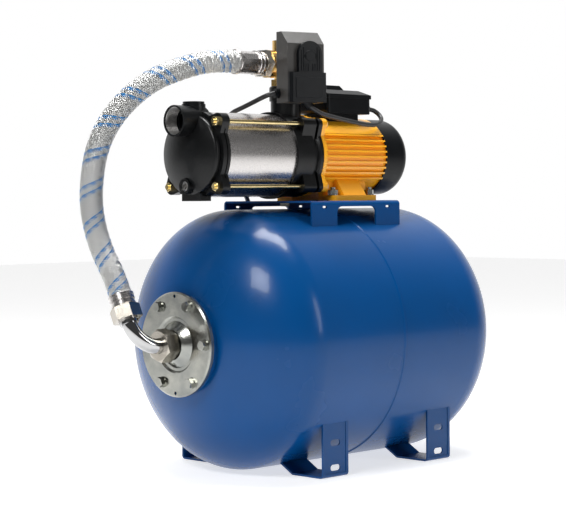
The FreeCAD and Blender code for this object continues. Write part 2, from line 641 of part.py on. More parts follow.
def make_discharge_casing():
    seal_wall = JOINT_X - 21.0
    body = spun([(CASING_X, 0), (CASING_X, CASING_R), (CASING_X + 7, CASING_R),
                 (CASING_X + 10, CASING_R - 3), (CASING_X + 38, CASING_R - 3),
                 (CASING_X + 41, CASING_R - 8), (JOINT_X - 9, CASING_R - 8),
                 (JOINT_X - 6, CASING_R - 3), (JOINT_X, CASING_R - 3), (JOINT_X, 0)])
    for y, z in rod_spots():
        body = body.fuse(lug(CASING_X + 17, ROD_BACK + 3, y, z, LUG_R - 2.5))
        body = body.fuse(lug(ROD_BACK + 8, JOINT_X, y, z, LUG_R - 2.5))
    neck = zcyl(AXIS + CASING_R / 2, OUTLET_Z, OUTLET_R - 2, OUTLET_X)
    ring = zcyl(OUTLET_Z - 22, OUTLET_Z, OUTLET_R, OUTLET_X)
    top = [e for e in ring.Edges if e.Closed and e.CenterOfMass.z > OUTLET_Z - 1]
    body = body.fuse([neck, ring.makeFillet(3.0, top)])
    body = body.cut(block(JOINT_X, JOINT_X + OUTLET_R, -OUTLET_R, OUTLET_R, AXIS,
                          AXIS + MOTOR_FLANGE_R + 1))
    cavity = xcyl(CASING_X + SEAT_DEPTH, seal_wall, CASING_R - 10)
    cavity = cavity.fuse(xcyl(CASING_X - 1, CASING_X + SEAT_DEPTH, SLEEVE_R))
    cavity = cavity.fuse(xcyl(JOINT_X - 8, JOINT_X + 1, 30))
    cavity = cavity.fuse(xcyl(seal_wall - 1, seal_wall + SEAT_LEN, SEAL_R - 1))
    cavity = cavity.fuse(xcyl(seal_wall, JOINT_X, SHAFT_R + 2))
    outlet = zcyl(OUTLET_Z - OUTLET_SEAT, OUTLET_Z + 1, OUTLET_BORE_R, OUTLET_X)
    outlet = outlet.fuse(zcyl(AXIS + CASING_R / 2, OUTLET_Z, OUTLET_BORE_R - 3, OUTLET_X))
    throat = block(CASING_X, JOINT_X, -CASING_R, CASING_R, AXIS, OUTLET_Z + 5)
    throat = throat.cut(block(seal_wall, JOINT_X + 1, -CASING_R, CASING_R, AXIS, AXIS + CASING_R - 9))
    body = body.cut(cavity).cut(outlet.common(throat))
    for y, z in rod_spots():
        body = body.cut(xcyl(CASING_X - 1, ROD_BACK, ROD_R, y, z))
        body = body.cut(xcyl(JOINT_X - 12, JOINT_X + 1, ROD_R, y, z))
    save("discharge_casing", body.removeSplitter())

    bolts = []
    for y, z in rod_spots():
        tail = JOINT_X + MOTOR_FLANGE_T + 3
        head = hex_head(10.0, 5.0, V(tail, y, z), X, 7)
        bolts.append(head.fuse(xcyl(JOINT_X - 12, tail, ROD_R, y, z)).removeSplitter())
    save("casing_bolts", bolts)
    save("seal_seat", xring(seal_wall, seal_wall + SEAT_LEN, SEAL_R - 1, SHAFT_R + 1))
    save("seal_head", xring(seal_wall - SEAL_LEN, seal_wall - 0.1, SEAL_R - 2, SHAFT_R))


def make_stages():
    first = SLEEVE_FRONT + 4
    last = CASING_X + SEAT_DEPTH
    pitch = (last - first) / STAGES
    bowl_r = SLEEVE_R - SLEEVE_T - DIFFUSER_CLEAR
    bowls, wheels = [], []
    for k in range(STAGES):
        x = first + k * pitch
        end = x + pitch - STAGE_GAP
        bowl = xring(x, end, bowl_r, bowl_r - 2.5).fuse(xring(x, x + 2.5, bowl_r, IMPELLER_EYE_R + 1))
        guide = x + 2.5 + 1 + IMPELLER_W + 1
        bowl = bowl.fuse(xring(guide, guide + 2, bowl_r - 9, HUB_OUT_R + 0.5))
        for b in range(BLADES):
            vane = block(guide, end, -1.2, 1.2, AXIS + HUB_OUT_R + 4, AXIS + bowl_r - 2)
            vane.rotate(V(0, 0, AXIS), X, 360.0 * b / BLADES)
            bowl = bowl.fuse(vane)
        bowls.append(bowl.removeSplitter())
        w0 = x + 3.5
        wheel = xring(w0, w0 + 2, IMPELLER_R, IMPELLER_EYE_R)
        wheel = wheel.fuse(xring(w0 + IMPELLER_W - 2, w0 + IMPELLER_W, IMPELLER_R, SHAFT_R))
        wheel = wheel.fuse(xring(w0 + IMPELLER_W - 2, w0 + IMPELLER_W + 8, HUB_OUT_R - 1, SHAFT_R))
        for b in range(BLADES):
            blade = block(w0, w0 + IMPELLER_W, -1.2, 1.2, AXIS + IMPELLER_EYE_R - 2, AXIS + IMPELLER_R - 1)
            blade.rotate(V(0, 0, AXIS + IMPELLER_R / 1.5), X, 35)
            blade.rotate(V(0, 0, AXIS), X, 360.0 * b / BLADES)
            wheel = wheel.fuse(blade)
        wheels.append(wheel.removeSplitter())
    save("diffusers", bowls)
    save("impellers", wheels)


# ---------------------------------------------------------------- motor
def make_motor_housing():
    body = xcyl(JOINT_X, MOTOR_END, MOTOR_CORE_R)
    body = body.fuse(xcyl(JOINT_X, JOINT_X + MOTOR_FLANGE_T, MOTOR_FLANGE_R))
    fin_zone = xcyl(JOINT_X + MOTOR_FLANGE_T + 2, MOTOR_END - 1, FIN_R)
    fins = []
    for k in range(FINS):
        z = AXIS + FIN_TOP - k * FIN_PITCH
        slab = block(JOINT_X, MOTOR_END, -FIN_R, FIN_R, z - FIN_T / 2, z + FIN_T / 2)
        fins.append(slab.common(fin_zone))
    body = body.fuse(fins)
    crown = xcyl(JOINT_X, MOTOR_END, CROWN_R).common(
        block(JOINT_X, MOTOR_END, -CROWN_R, CROWN_R, AXIS + CROWN_FROM, AXIS + CROWN_R))
    body = body.fuse(crown)
    f0, f1 = FEET_MID - FEET_L / 2, FEET_MID + FEET_L / 2
    for side in (-1, 1):
        y0, y1 = sorted((side * FEET_INNER, side * FEET_HALF_W))
        plate = block(f0, f1, y0, y1, PLATFORM_Z, PLATFORM_Z + FEET_T)
        ends = edges_along(plate, Z, lambda p: abs(p.y) > FEET_HALF_W - 0.1)
        body = body.fuse(plate.makeFillet(5.0, ends))
        heights = [(side * (FEET_HALF_W - 3), PLATFORM_Z + FEET_T), (side * FEET_INNER, PLATFORM_Z),
                   (side * (FEET_INNER - 10), AXIS - 38), (side * (FEET_INNER + 8), AXIS - 33)]
        points = [V(FEET_MID - WEB_TOP_L / 2, y, z) for y, z in heights]
        web = Part.Face(Part.makePolygon(points + points[:1])).extrude(V(WEB_TOP_L, 0, 0))
        body = body.fuse(web)
        y0, y1 = sorted((side * (FEET_INNER - 6), side * (FEET_INNER + 4)))
        body = body.fuse(block(f0, f1, y0, y1, PLATFORM_Z, AXIS - 36))
    for y, z in rod_spots():
        body = body.fuse(lug(JOINT_X, JOINT_X + MOTOR_FLANGE_T, y, z, LUG_R - 2.5))
        body = body.fuse(xcyl(JOINT_X, JOINT_X + MOTOR_FLANGE_T + 3, LUG_R - 2.5, y, z))
    body = body.cut(xcyl(JOINT_X + MOTOR_FLANGE_T, MOTOR_END + 1, MOTOR_CORE_R - MOTOR_WALL))
    body = body.fuse(xcyl(JOINT_X + 2, JOINT_X + 4 + BEARING_W, BEARING_R + 6))
    body = body.cut(xcyl(BEARING_SEAT_FRONT, BEARING_SEAT_FRONT + BEARING_W + 1, BEARING_R))
    body = body.cut(xcyl(JOINT_X - 1, JOINT_X + 10, JOURNAL_R + 2))
    for y, z in rod_spots():
        body = body.cut(xcyl(JOINT_X - 1, JOINT_X + 20, ROD_R, y, z))
    for x, y in foot_bolt_spots():
        body = body.cut(zcyl(PLATFORM_Z - 1, PLATFORM_Z + FEET_T + 8, FEET_HOLE_R, x, y))
        body = body.cut(zcyl(PLATFORM_Z + FEET_T, PLATFORM_Z + FEET_T + 20, WASHER_R + 2, x, y))
    save("motor_housing", body.removeSplitter())


def make_motor_inside():
    s0, s1 = STATOR_MID - STATOR_L / 2, STATOR_MID + STATOR_L / 2
    bore = MOTOR_CORE_R - MOTOR_WALL
    save("stator_core", xring(s0, s1, bore, STATOR_BORE_R))
    coils = [xring(a, b, bore - 2, STATOR_BORE_R + 3) for a, b in ((s0 - 15, s0), (s1, s1 + 15))]
    save("stator_windings", coils)
    save("rotor_core", xring(s0, s1, STATOR_BORE_R - AIR_GAP, JOURNAL_R))
    rear = MOTOR_END - 1
    rings = [xring(a, a + BEARING_W, BEARING_R, JOURNAL_R + RUN_FIT)
             for a in (BEARING_SEAT_FRONT, rear - BEARING_W)]
    save("bearings", rings)
    shield = xring(MOTOR_END, MOTOR_END + 6, FAN_COVER_R - FAN_COVER_T - 0.5, JOURNAL_R + 1)
    shield = shield.fuse(xring(rear - BEARING_W, MOTOR_END, BEARING_R + 6, BEARING_R))
    save("rear_shield", shield.removeSplitter())
    shaft = xcyl(DISC_FRONT + 14, JOINT_X - 2, SHAFT_R)
    shaft = shaft.fuse(xcyl(JOINT_X - 2, FAN_X + FAN_W, JOURNAL_R))
    save("shaft", shaft.removeSplitter())

    fan = xring(FAN_X, FAN_X + FAN_W, FAN_HUB_R, JOURNAL_R)
    fan = fan.fuse(xring(FAN_X, FAN_X + 2, FAN_R - 10, JOURNAL_R))
    for k in range(FAN_BLADES):
        blade = block(FAN_X, FAN_X + FAN_W, -1, 1, AXIS + FAN_HUB_R - 2, AXIS + FAN_R)
        blade.rotate(V(0, 0, AXIS), X, 360.0 * k / FAN_BLADES)
        fan = fan.fuse(blade)
    save("cooling_fan", fan.removeSplitter())

    end = MOTOR_END + FAN_COVER_L
    cover = xcyl(MOTOR_END, end, FAN_COVER_R)
    rim = [e for e in cover.Edges if e.Closed and e.CenterOfMass.x > end - 0.1]
    cover = cover.makeFillet(FAN_COVER_ROUND, rim)
    inner = xcyl(MOTOR_END - 1, end - FAN_COVER_T, FAN_COVER_R - FAN_COVER_T)
    rim = [e for e in inner.Edges if e.Closed and e.CenterOfMass.x > end - FAN_COVER_T - 0.1]
    cover = cover.cut(inner.makeFillet(FAN_COVER_ROUND - FAN_COVER_T, rim))
    slots = []
    for k in range(-4, 5):
        bar = block(end - 3, end + 1, k * 9 - 2.2, k * 9 + 2.2, AXIS - FAN_R, AXIS + FAN_R)
        slots.append(bar.common(xcyl(end - 3, end + 1, FAN_COVER_R - FAN_COVER_ROUND - 3)))
    for slot in slots:
        cover = cover.cut(slot.cut(block(end - 4, end + 2, -60, 60, AXIS - 1.5, AXIS + 1.5)))
    save("fan_cover", cover)


def make_terminal_box():
    x1 = MOTOR_END - BOX_IN
    x0, w = x1 - BOX_L, BOX_HALF_W
    floor, top = AXIS + BOX_FLOOR, AXIS + BOX_TOP
    gland_z = AXIS + BOX_GLAND_UP
    box = block(x0, x1, -w, w, floor, top)
    box = box.makeFillet(6.0, edges_along(box, Z, lambda p: True) + edges_along(box, Y, lambda p: p.z < top))
    neck = block(x0 + BOX_NECK_IN, x1 - BOX_NECK_IN, -BOX_NECK_HALF_W, BOX_NECK_HALF_W, AXIS, floor + 1)
    box = box.fuse(neck).cut(xcyl(x0, x1, CROWN_R))
    box = box.cut(block(x0 + BOX_WALL, x1 - BOX_WALL, -w + BOX_WALL, w - BOX_WALL,
                        floor + BOX_WALL, top + 1))
    box = box.cut(xcyl(x1 - 2 * BOX_WALL, x1 + 1, CABLE_R, BOX_GLAND_Y, gland_z))
    save("terminal_box", box.removeSplitter())

    out = LID_OVERHANG
    edge_z = top + LID_EDGE
    slope_z = edge_z + LID_SLOPE_UP
    lid = block(x0 - out, x1 + out, -w - out, w + out, top, edge_z)
    lid = lid.makeFillet(5.0, edges_along(lid, Z, lambda p: True))
    roof = frustum((x0 - out + 2, x1 + out - 2, -w - out + 2, w + out - 2, edge_z),
                   (x0 + 4, x1 - LID_SLOPE_IN, -w + LID_SLOPE_IN, w - 4, slope_z))
    hump_z = AXIS + HUMP_UP
    hump = frustum((x0 + 8, x0 + HUMP_L, HUMP_Y0, HUMP_Y1, slope_z - 1),
                   (x0 + 11, x0 + HUMP_L - 9, HUMP_Y0 + 4, HUMP_Y1 - 3, hump_z))
    rim = [e for e in hump.Edges if e.CenterOfMass.z > hump_z - 0.1]
    lid = lid.fuse([roof, hump.makeFillet(2.0, rim)])
    middle_y = (HUMP_Y0 + HUMP_Y1) / 2
    can_z = edge_z - 1
    room = xcyl(x0 + 12, x0 + 14 + CAPACITOR_L, CAPACITOR_R + 1, middle_y, can_z)
    room = room.fuse(block(x0 + 6, x1 - LID_SLOPE_IN, -w + LID_SLOPE_IN, w - 6, top - 1, edge_z - 1))
    save("terminal_lid", lid.cut(room))
    save("capacitor", xcyl(x0 + 13, x0 + 13 + CAPACITOR_L, CAPACITOR_R, middle_y, can_z))
    seat = floor + BOX_WALL
    save("terminal_block", block(x1 - 34, x1 - 12, -20, 20, seat, seat + TERMINAL_BLOCK_H))
    gland = xring(x1, x1 + GLAND_L, GLAND_R, CABLE_R, BOX_GLAND_Y, gland_z)
    return gland, V(x1 + GLAND_L, BOX_GLAND_Y, gland_z)


# ---------------------------------------------------------------- manifold, hose ends, elbow
def make_manifold():
    x = OUTLET_X
    low = OUTLET_Z - OUTLET_SEAT + 2
    top = HOSE_Z + MANIFOLD_TOP
    body = zcyl(low, OUTLET_Z, OUTLET_BORE_R, x)
    body = body.fuse(hexagon(38.0, 10, V(x, 0, OUTLET_Z), Z, 30))
    body = body.fuse(zcyl(OUTLET_Z + 10, top, MANIFOLD_R - 3, x))
    body = body.fuse(zcyl(top - DELIVERY_LEN, top, MANIFOLD_R - 0.5, x))
    body = body.fuse(xcyl(x - BRANCH_OUT, x, MANIFOLD_R - 4, 0, HOSE_Z))
    body = body.fuse(xcyl(x - BRANCH_OUT, x - BRANCH_OUT + BRANCH_RING_L, BRANCH_RING_R, 0, HOSE_Z))
    front = Part.makeCylinder(FRONT_BOSS_R, FRONT_BOSS_OUT, V(x, 0, HOSE_Z), -Y)
    front.rotate(V(x, 0, 0), Z, CTRL_TURN)
    body = body.fuse(front)
    bore = zcyl(low - 1, top + 1, NECK_BORE_R, x)
    bore = bore.fuse(zcyl(top - DELIVERY_LEN, top + 1, DELIVERY_BORE_R, x))
    bore = bore.fuse(xcyl(x - BRANCH_OUT - 1, x, NECK_BORE_R - 1, 0, HOSE_Z))
    tap = Part.makeCylinder(5.0, FRONT_BOSS_OUT + 1, V(x, 0, HOSE_Z), -Y)
    tap.rotate(V(x, 0, 0), Z, CTRL_TURN)
    body = body.cut(bore).cut(tap)
    save("brass_manifold", body.removeSplitter())


def ferrule(base, axis, length):
    """Crimped hose end: a skirt with a rolled bead at each side, and its inner tail."""
    r = FERRULE_R
    outline = [(0, 0), (0, r - 1), (1, r), (4, r), (5, r - 1.6), (7, r - 1.6), (8, r + 0.6),
               (11, r + 0.6), (12, r - 0.8), (length - 5, r - 0.8), (length - 4, r + 0.8),
               (length - 1, r + 0.8), (length, r), (length, 0)]
    points = [V(radius, 0, along) for along, radius in outline]
    body = Part.Face(Part.makePolygon(points + points[:1])).revolve(V(0, 0, 0), Z, 360)
    body = body.cut(Part.makeCylinder(NECK_BORE_R - 1, length + 2, V(0, 0, -1)))
    flat_l = length - 22
    for k in range(6 if flat_l > 0 else 0):
        pad = Part.makeBox(4, 9, flat_l, V(r - 1.6, -4.5, 14))
        pad.rotate(V(0, 0, 0), Z, 60 * k)
        body = body.cut(pad.cut(Part.makeCylinder(r - 1.6, length)))
    body.Placement = FreeCAD.Placement(base, FreeCAD.Rotation(Z, axis))
    return body


def make_hose_ends():
    x_end = OUTLET_X - BRANCH_OUT
    nut_x = x_end - NUT_GAP
    nut = hex_head(HOSE_NUT_AF, HOSE_NUT_L, V(nut_x, 0, HOSE_Z), -X, 30)
    tail_r = NECK_BORE_R + 1.5
    nut = nut.cut(xcyl(nut_x - HOSE_NUT_L - 1, nut_x + 1, tail_r + RUN_FIT, 0, HOSE_Z))
    save("upper_hose_nut", nut)
    start = V(nut_x - HOSE_NUT_L - NUT_GAP, 0, HOSE_Z)
    upper = ferrule(start, -X, FERRULE_LONG)
    tail = xring(start.x, x_end, tail_r, NECK_BORE_R - 1, 0, HOSE_Z)
    save("upper_ferrule", upper.fuse(tail).removeSplitter())

    turn = math.radians(ELBOW_TURN)
    up = V(0, math.sin(turn), math.cos(turn))
    neck_face = FLANGE_FACE - HUB_RISE - NECK_LEN
    begin = neck_face - 0.3
    bend_x = neck_face - ELBOW_COLLAR_T - 4.0
    start_p = V(bend_x, 0, TANK_Z)
    corner = start_p - X * ELBOW_BEND
    end_p = corner + up * ELBOW_BEND
    centre = start_p + up * ELBOW_BEND
    mid_p = centre + (V(-1, 0, 0) - up) * (ELBOW_BEND * math.sqrt(0.5))
    path = Part.Wire([Part.makeLine(V(begin, 0, TANK_Z), start_p),
                      Part.Arc(start_p, mid_p, end_p).toShape()])
    outer = path.makePipeShell([Part.Wire(Part.makeCircle(ELBOW_R, V(begin, 0, TANK_Z), X))], True)
    inner = path.makePipeShell(
        [Part.Wire(Part.makeCircle(ELBOW_R - ELBOW_WALL, V(begin, 0, TANK_Z), X))], True)
    pipe = Part.Solid(outer).cut(Part.Solid(inner)) if outer.ShapeType != "Solid" else outer.cut(inner)
    collar = xring(begin - ELBOW_COLLAR_T, begin, ELBOW_COLLAR_R, ELBOW_R - ELBOW_WALL, 0, TANK_Z)
    socket_len = 6.0
    socket = Part.makeCylinder(ELBOW_R + 3, socket_len, end_p - up * 2, up)
    socket = socket.cut(Part.makeCylinder(ELBOW_R - ELBOW_WALL, socket_len + 2, end_p - up * 3, up))
    save("elbow", pipe.fuse([collar, socket]).removeSplitter())

    u0 = neck_face - ELBOW_COLLAR_T - 4
    union = hex_head(UNION_AF, UNION_L, V(u0 + UNION_L, 0, TANK_Z), -X, 12)
    union = union.cut(xcyl(u0 - 1, u0 + UNION_L + 1, ELBOW_R + 0.4, 0, TANK_Z))
    union = union.cut(xcyl(neck_face - ELBOW_COLLAR_T - 0.6, u0 + UNION_L + 1, NECK_R + RUN_FIT, 0, TANK_Z))
    save("union_nut", union)

    socket_face = end_p + up * (socket_len - 2)
    nut_base = socket_face + up * NUT_GAP
    nut = hex_head(HOSE_NUT_AF, LOW_NUT_L, nut_base, up, 10)
    nut = nut.cut(Part.makeCylinder(tail_r + RUN_FIT, LOW_NUT_L + 2, nut_base - up, up))
    save("lower_hose_nut", nut)
    low_base = nut_base + up * (LOW_NUT_L + NUT_GAP)
    low = ferrule(low_base, up, FERRULE_SHORT)
    stub = Part.makeCylinder(tail_r, LOW_NUT_L + 2 * NUT_GAP, socket_face, up)
    stub = stub.cut(Part.makeCylinder(NECK_BORE_R - 1, LOW_NUT_L + 4, socket_face - up, up))
    save("lower_ferrule", low.fuse(stub).removeSplitter())
    low_end = low_base + up * FERRULE_SHORT
    high_end = start - X * FERRULE_LONG
    return low_end, high_end


# ---------------------------------------------------------------- pressure controller
def turned(shape):
    """From the controller's own square frame to its place on the manifold."""
    out = shape.copy()
    out.translate(V(CTRL_ASIDE, 0, 0))
    out.rotate(V(0, 0, 0), Z, CTRL_TURN)
    out.translate(V(OUTLET_X, 0, AXIS))
    return out


def controller_wedge(inset):
    """The grey shell: a box whose upper half slopes back towards its top."""
    half, back = CTRL_W / 2 - inset, -CTRL_BACK - inset
    front, top_front = -CTRL_BACK - CTRL_D + inset, -CTRL_BACK - CTRL_TOP_D + inset
    low, high = CTRL_BOTTOM + inset, CTRL_TOP - inset
    side = [(back, low), (front, low), (front, SLOPE_FROM), (top_front, high), (back, high)]
    points = [V(-half, y, z) for y, z in side]
    return Part.Face(Part.makePolygon(points + points[:1])).extrude(V(2 * half, 0, 0))


def make_controller():
    front = -CTRL_BACK - CTRL_D
    shell = controller_wedge(0.0)
    shell = shell.makeFillet(6.0, edges_along(shell, Z, lambda p: p.y > -CTRL_BACK - 1))
    shell = shell.cut(controller_wedge(CTRL_WALL))
    shell = shell.cut(block(-CTRL_W / 2 + CTRL_WALL, CTRL_W / 2 - CTRL_WALL, front - 1,
                            front + CTRL_WALL + 0.1, CTRL_BOTTOM + CTRL_WALL, LOWER_TOP - 1))
    stem_z = HOSE_Z - AXIS
    stem_x = -CTRL_ASIDE
    hole = Part.makeCylinder(STEM_R, CTRL_WALL + 2, V(stem_x, -CTRL_BACK + 1, stem_z), -Y)
    arch_zone = Part.makeCylinder(ARCH_R, 60, V(ARCH_ASIDE, front - 20, ARCH_TOP - ARCH_R), Y)
    arch_zone = arch_zone.fuse(block(ARCH_ASIDE - ARCH_R, ARCH_ASIDE + ARCH_R, front - 20, front + 40,
                                     LOWER_TOP - 1, ARCH_TOP - ARCH_R))
    lower = block(-CTRL_W / 2, CTRL_W / 2, front - COVER_T, front, CTRL_BOTTOM, LOWER_TOP)
    lower = lower.makeFillet(4.0, edges_along(lower, Z, lambda p: p.y < front - 1))
    arch = arch_zone.common(block(-CTRL_W, CTRL_W, front - COVER_T + 2, -CTRL_BACK - CTRL_WALL - 1,
                                  LOWER_TOP - 1, ARCH_TOP))
    arch_hole = arch_zone.common(block(-99, 99, front - 20, -CTRL_BACK - CTRL_WALL - 0.5, 0, 999))
    cover = lower.fuse(arch).removeSplitter()
    shell = shell.cut(hole).cut(arch_hole)
    button_z = ARCH_TOP - ARCH_R - 2
    face = front - COVER_T + 2
    well = Part.makeCylinder(BUTTON_R + BUTTON_CLEAR, 14, V(ARCH_ASIDE, face - 1, button_z), Y)
    hollow = arch_zone.common(block(-99, 99, face + 14, 0, CTRL_BOTTOM, 999))
    keep = block(ARCH_ASIDE - ARCH_R + 2, ARCH_ASIDE + ARCH_R - 2, face + 14, -CTRL_BACK,
                 LOWER_TOP + 2, ARCH_TOP - 14)
    cover = cover.cut(well).cut(hollow.common(keep))
    button = Part.makeCylinder(BUTTON_R, 9, V(ARCH_ASIDE, face - 1.0, button_z), Y)
    save("reset_button", turned(button))
    tilt = math.radians(GLAND_TILT)
    down = V(math.sin(tilt), 0, -math.cos(tilt))
    foot_p = V(GLAND_X, -CTRL_BACK - CTRL_D / 2, CTRL_BOTTOM)
    shell = shell.cut(Part.makeCylinder(CABLE_R, 12, foot_p + down, down * -1))
    gland = Part.makeCylinder(GLAND_R, GLAND_L + 6, foot_p - down * 6, down)
    gland = gland.cut(Part.makeCylinder(CABLE_R, GLAND_L + 14, foot_p - down * 7, down))
    glands = [gland.cut(block(-99, 99, -99, 0, CTRL_BOTTOM, CTRL_BOTTOM + 30))]
    side_p = V(-CTRL_W / 2, -CTRL_BACK - 9, CTRL_BOTTOM + 14)
    shell = shell.cut(Part.makeCylinder(CABLE_R, 9, side_p + X * 5, -X))
    glands.append(Part.makeCylinder(GLAND_R, GLAND_L, side_p, -X)
                  .cut(Part.makeCylinder(CABLE_R, GLAND_L + 2, side_p + X, -X)))
    save("controller_shell", turned(shell))
    save("controller_cover", turned(cover))
    board = block(-24, 24, -CTRL_BACK - 12, -CTRL_BACK - 10.4, CTRL_BOTTOM + 26, LOWER_TOP - 8)
    save("circuit_board", turned(board))
    root = V(stem_x, -FRONT_BOSS_OUT, stem_z)
    stem = Part.makeCylinder(STEM_R, CTRL_BACK - FRONT_BOSS_OUT + CTRL_WALL, root, -Y)
    stem = stem.fuse(hexagon(20.0, 9, root - Y * 4, -Y))
    save("controller_stem", turned(stem.cut(Part.makeCylinder(3.5, 60, root + Y, -Y))))
    ends = [turned(Part.Vertex(foot_p + down * GLAND_L)).Point,
            turned(Part.Vertex(side_p - X * GLAND_L)).Point]
    return [turned(g) for g in glands], ends


# ---------------------------------------------------------------- hose and cables
def tube(points, radius):
    """Straight runs joined by tangent arcs, as large as the runs allow. Prints the arc radii."""
    pts = [V(*p) for p in points]
    edges, cursor, radii = [], pts[0], []
    for before, corner, after in zip(pts, pts[1:], pts[2:]):
        a, b = (before - corner), (after - corner)
        shorter = min(a.Length, b.Length)
        a.normalize()
        b.normalize()
        turn = math.pi - math.acos(max(-1.0, min(1.0, a.dot(b))))
        back = 0.45 * shorter
        arc_r = back / math.tan(turn / 2)
        radii.append(round(arc_r))
        first, last = corner + a * back, corner + b * back
        inward = (a + b).normalize()
        centre = corner + inward * (arc_r / math.cos(turn / 2))
        middle = centre - inward * arc_r
        edges.append(Part.makeLine(cursor, first))
        edges.append(Part.Arc(first, middle, last).toShape())
        cursor = last
    edges.append(Part.makeLine(cursor, pts[-1]))
    path = Part.Wire(edges)
    ring = Part.Wire(Part.makeCircle(radius, pts[0], pts[1] - pts[0]))
    swept = path.makePipeShell([ring], True)
    solid = swept if swept.ShapeType == "Solid" else Part.Solid(swept)
    share = solid.Volume / (math.pi * radius ** 2 * path.Length)
    print("tube length", round(path.Length, 1), "radii", radii, "volume over section", round(share, 5))
    return solid


# points chosen by hand, in the set's own frame; the first and last lie on the hose's ferrules
HOSE_ROUTE = [(-304.5, 47.6, 290.6), (-318, 66.5, 338), (-326.5, 75.5, 405), (-318, 60, 495),
              (-267, 25.5, 563), (-192, 4.3, 591.5), (-147, 0, 598.1)]
MOTOR_CABLE_ROUTE = [(-12, -66, 526), (6, -64.5, 521.5), (34, -62, 518), (70, -58, 513.5),
                     (106, -55, 510), (128.7, -52, 510.3), (144.8, -47, 513.9), (157, -40, 519.6),
                     (160, -33, 526.7), (156.8, -28, 531.9), (149.5, -26, 535.5)]
LEAD_ROUTE = [(-80, -36.5, 550.5), (-84, -26, 546.5), (-84.5, -6, 540), (-84, 18, 533),
              (-82, 46, 526), (-72, 76, 506), (-48, 92, 470), (-16, 102, 430), (18, 112, 390),
              (42, 130, 352), (56, 160, 311), (64, 187, 261), (66, 200, 205), (66, 202, 150),
              (65, 203, 100), (64, 203, 62), (64, 210, 30), (64, 232, 8)]
COIL_CENTRE = V(104, 262, 0)


def make_cables(glands, ctrl_ends, box_end, low_end, high_end):
    """The hose, both cables, and the length of lead that lies coiled behind the tank."""
    print("hose ends", low_end, high_end)
    save("hose", tube([tuple(low_end)] + HOSE_ROUTE + [tuple(high_end)], HOSE_R))
    print("motor cable ends", ctrl_ends[0], box_end)
    save("motor_cable", tube([tuple(ctrl_ends[0])] + MOTOR_CABLE_ROUTE + [tuple(box_end)], CABLE_R))
    join = COIL_CENTRE + V(-COIL_MID_R, 0, CABLE_R + 0.2)
    print("mains lead ends", ctrl_ends[1], join)
    save("mains_lead", tube([tuple(ctrl_ends[1])] + LEAD_ROUTE + [tuple(join)], CABLE_R))
    outer = COIL_MID_R + COIL_TURNS_WIDE * CABLE_R
    inner = COIL_MID_R - COIL_TURNS_WIDE * CABLE_R
    coil = Part.makeCylinder(outer, 2 * COIL_TURNS_HIGH * CABLE_R, COIL_CENTRE, Z)
    save("mains_coil", coil.cut(Part.makeCylinder(inner, 99, COIL_CENTRE - Z, Z)))
    leave = COIL_CENTRE + V(0, COIL_MID_R, 3 * CABLE_R)
    plug_r = 18.0
    back = V(COIL_CENTRE.x + COIL_MID_R, leave.y, plug_r)
    tail_axis = back - leave
    save("mains_tail", Part.makeCylinder(CABLE_R, tail_axis.Length, leave, tail_axis))
    outline = [(0, 0), (0, CABLE_R + 2), (24, CABLE_R + 4), (26, 10), (44, 15), (48, plug_r),
               (60, plug_r), (60, 0)]
    points = [V(back.x + along, 0, back.z + r) for along, r in outline]
    body = Part.Face(Part.makePolygon(points + points[:1])).revolve(V(0, 0, back.z), X, 360)
    body.translate(V(0, back.y, 0))
    for side in (-1, 1):
        pin = Part.makeCylinder(PIN_R, PIN_L + 1, V(back.x + 59, back.y + side * 9.5, back.z), X)
        body = body.fuse(pin)
    save("mains_plug", body.removeSplitter())
    save("cable_glands", glands)


def main():
    os.makedirs("parts", exist_ok=True)
    skin = make_tank()
    make_mouth(skin)
    make_air_valve()
    make_feet(skin)
    make_platform(skin)
    make_suction_cover()
    make_sleeve_and_rods()
    make_discharge_casing()
    make_stages()
    make_motor_housing()
    make_motor_inside()
    box_gland, box_end = make_terminal_box()
    make_manifold()
    low_end, high_end = make_hose_ends()
    glands, ctrl_ends = make_controller()
    make_cables(glands + [box_gland], ctrl_ends, box_end, low_end, high_end)


main()
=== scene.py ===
# %% [markdown]
# # A domestic water booster set
# The set is a horizontal multistage centrifugal pump bolted on a blue membrane tank. A braided
# hose joins the two, and an electronic pressure controller sits on the pump's outlet.
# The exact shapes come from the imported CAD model. This lesson loads that model as a fixed frame,
# gives every part a finish built from nodes, and models the pieces that a CAD solid shows
# poorly: the braid of the hose, the cables, the fluted control cover and the pipe threads.

# %% Load the fixed frame
import json
import math

import bpy
from mathutils import Matrix, Vector


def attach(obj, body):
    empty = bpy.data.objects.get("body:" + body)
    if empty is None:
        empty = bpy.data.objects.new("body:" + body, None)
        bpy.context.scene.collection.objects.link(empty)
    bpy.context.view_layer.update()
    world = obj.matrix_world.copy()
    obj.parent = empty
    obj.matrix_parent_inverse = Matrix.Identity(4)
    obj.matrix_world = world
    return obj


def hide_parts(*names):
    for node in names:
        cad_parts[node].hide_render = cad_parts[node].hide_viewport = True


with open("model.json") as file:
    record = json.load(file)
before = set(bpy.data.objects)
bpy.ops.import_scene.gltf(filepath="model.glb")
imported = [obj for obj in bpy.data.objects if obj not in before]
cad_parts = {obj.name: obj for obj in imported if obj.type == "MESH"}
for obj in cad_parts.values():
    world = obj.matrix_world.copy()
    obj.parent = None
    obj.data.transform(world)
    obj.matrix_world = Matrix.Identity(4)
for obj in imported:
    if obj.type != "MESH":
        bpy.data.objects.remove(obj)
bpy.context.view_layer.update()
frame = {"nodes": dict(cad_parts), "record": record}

NODES = frame["nodes"]
MM = 0.001

# %% [markdown]
# ## Camera
# The set is seen from the suction end, 46 degrees off its long side and almost level, through a
# long lens. A camera looks along its own -Z, so its matrix is made of three directions: right,
# up and back towards the eye. A small shift places the set in the frame without turning it.

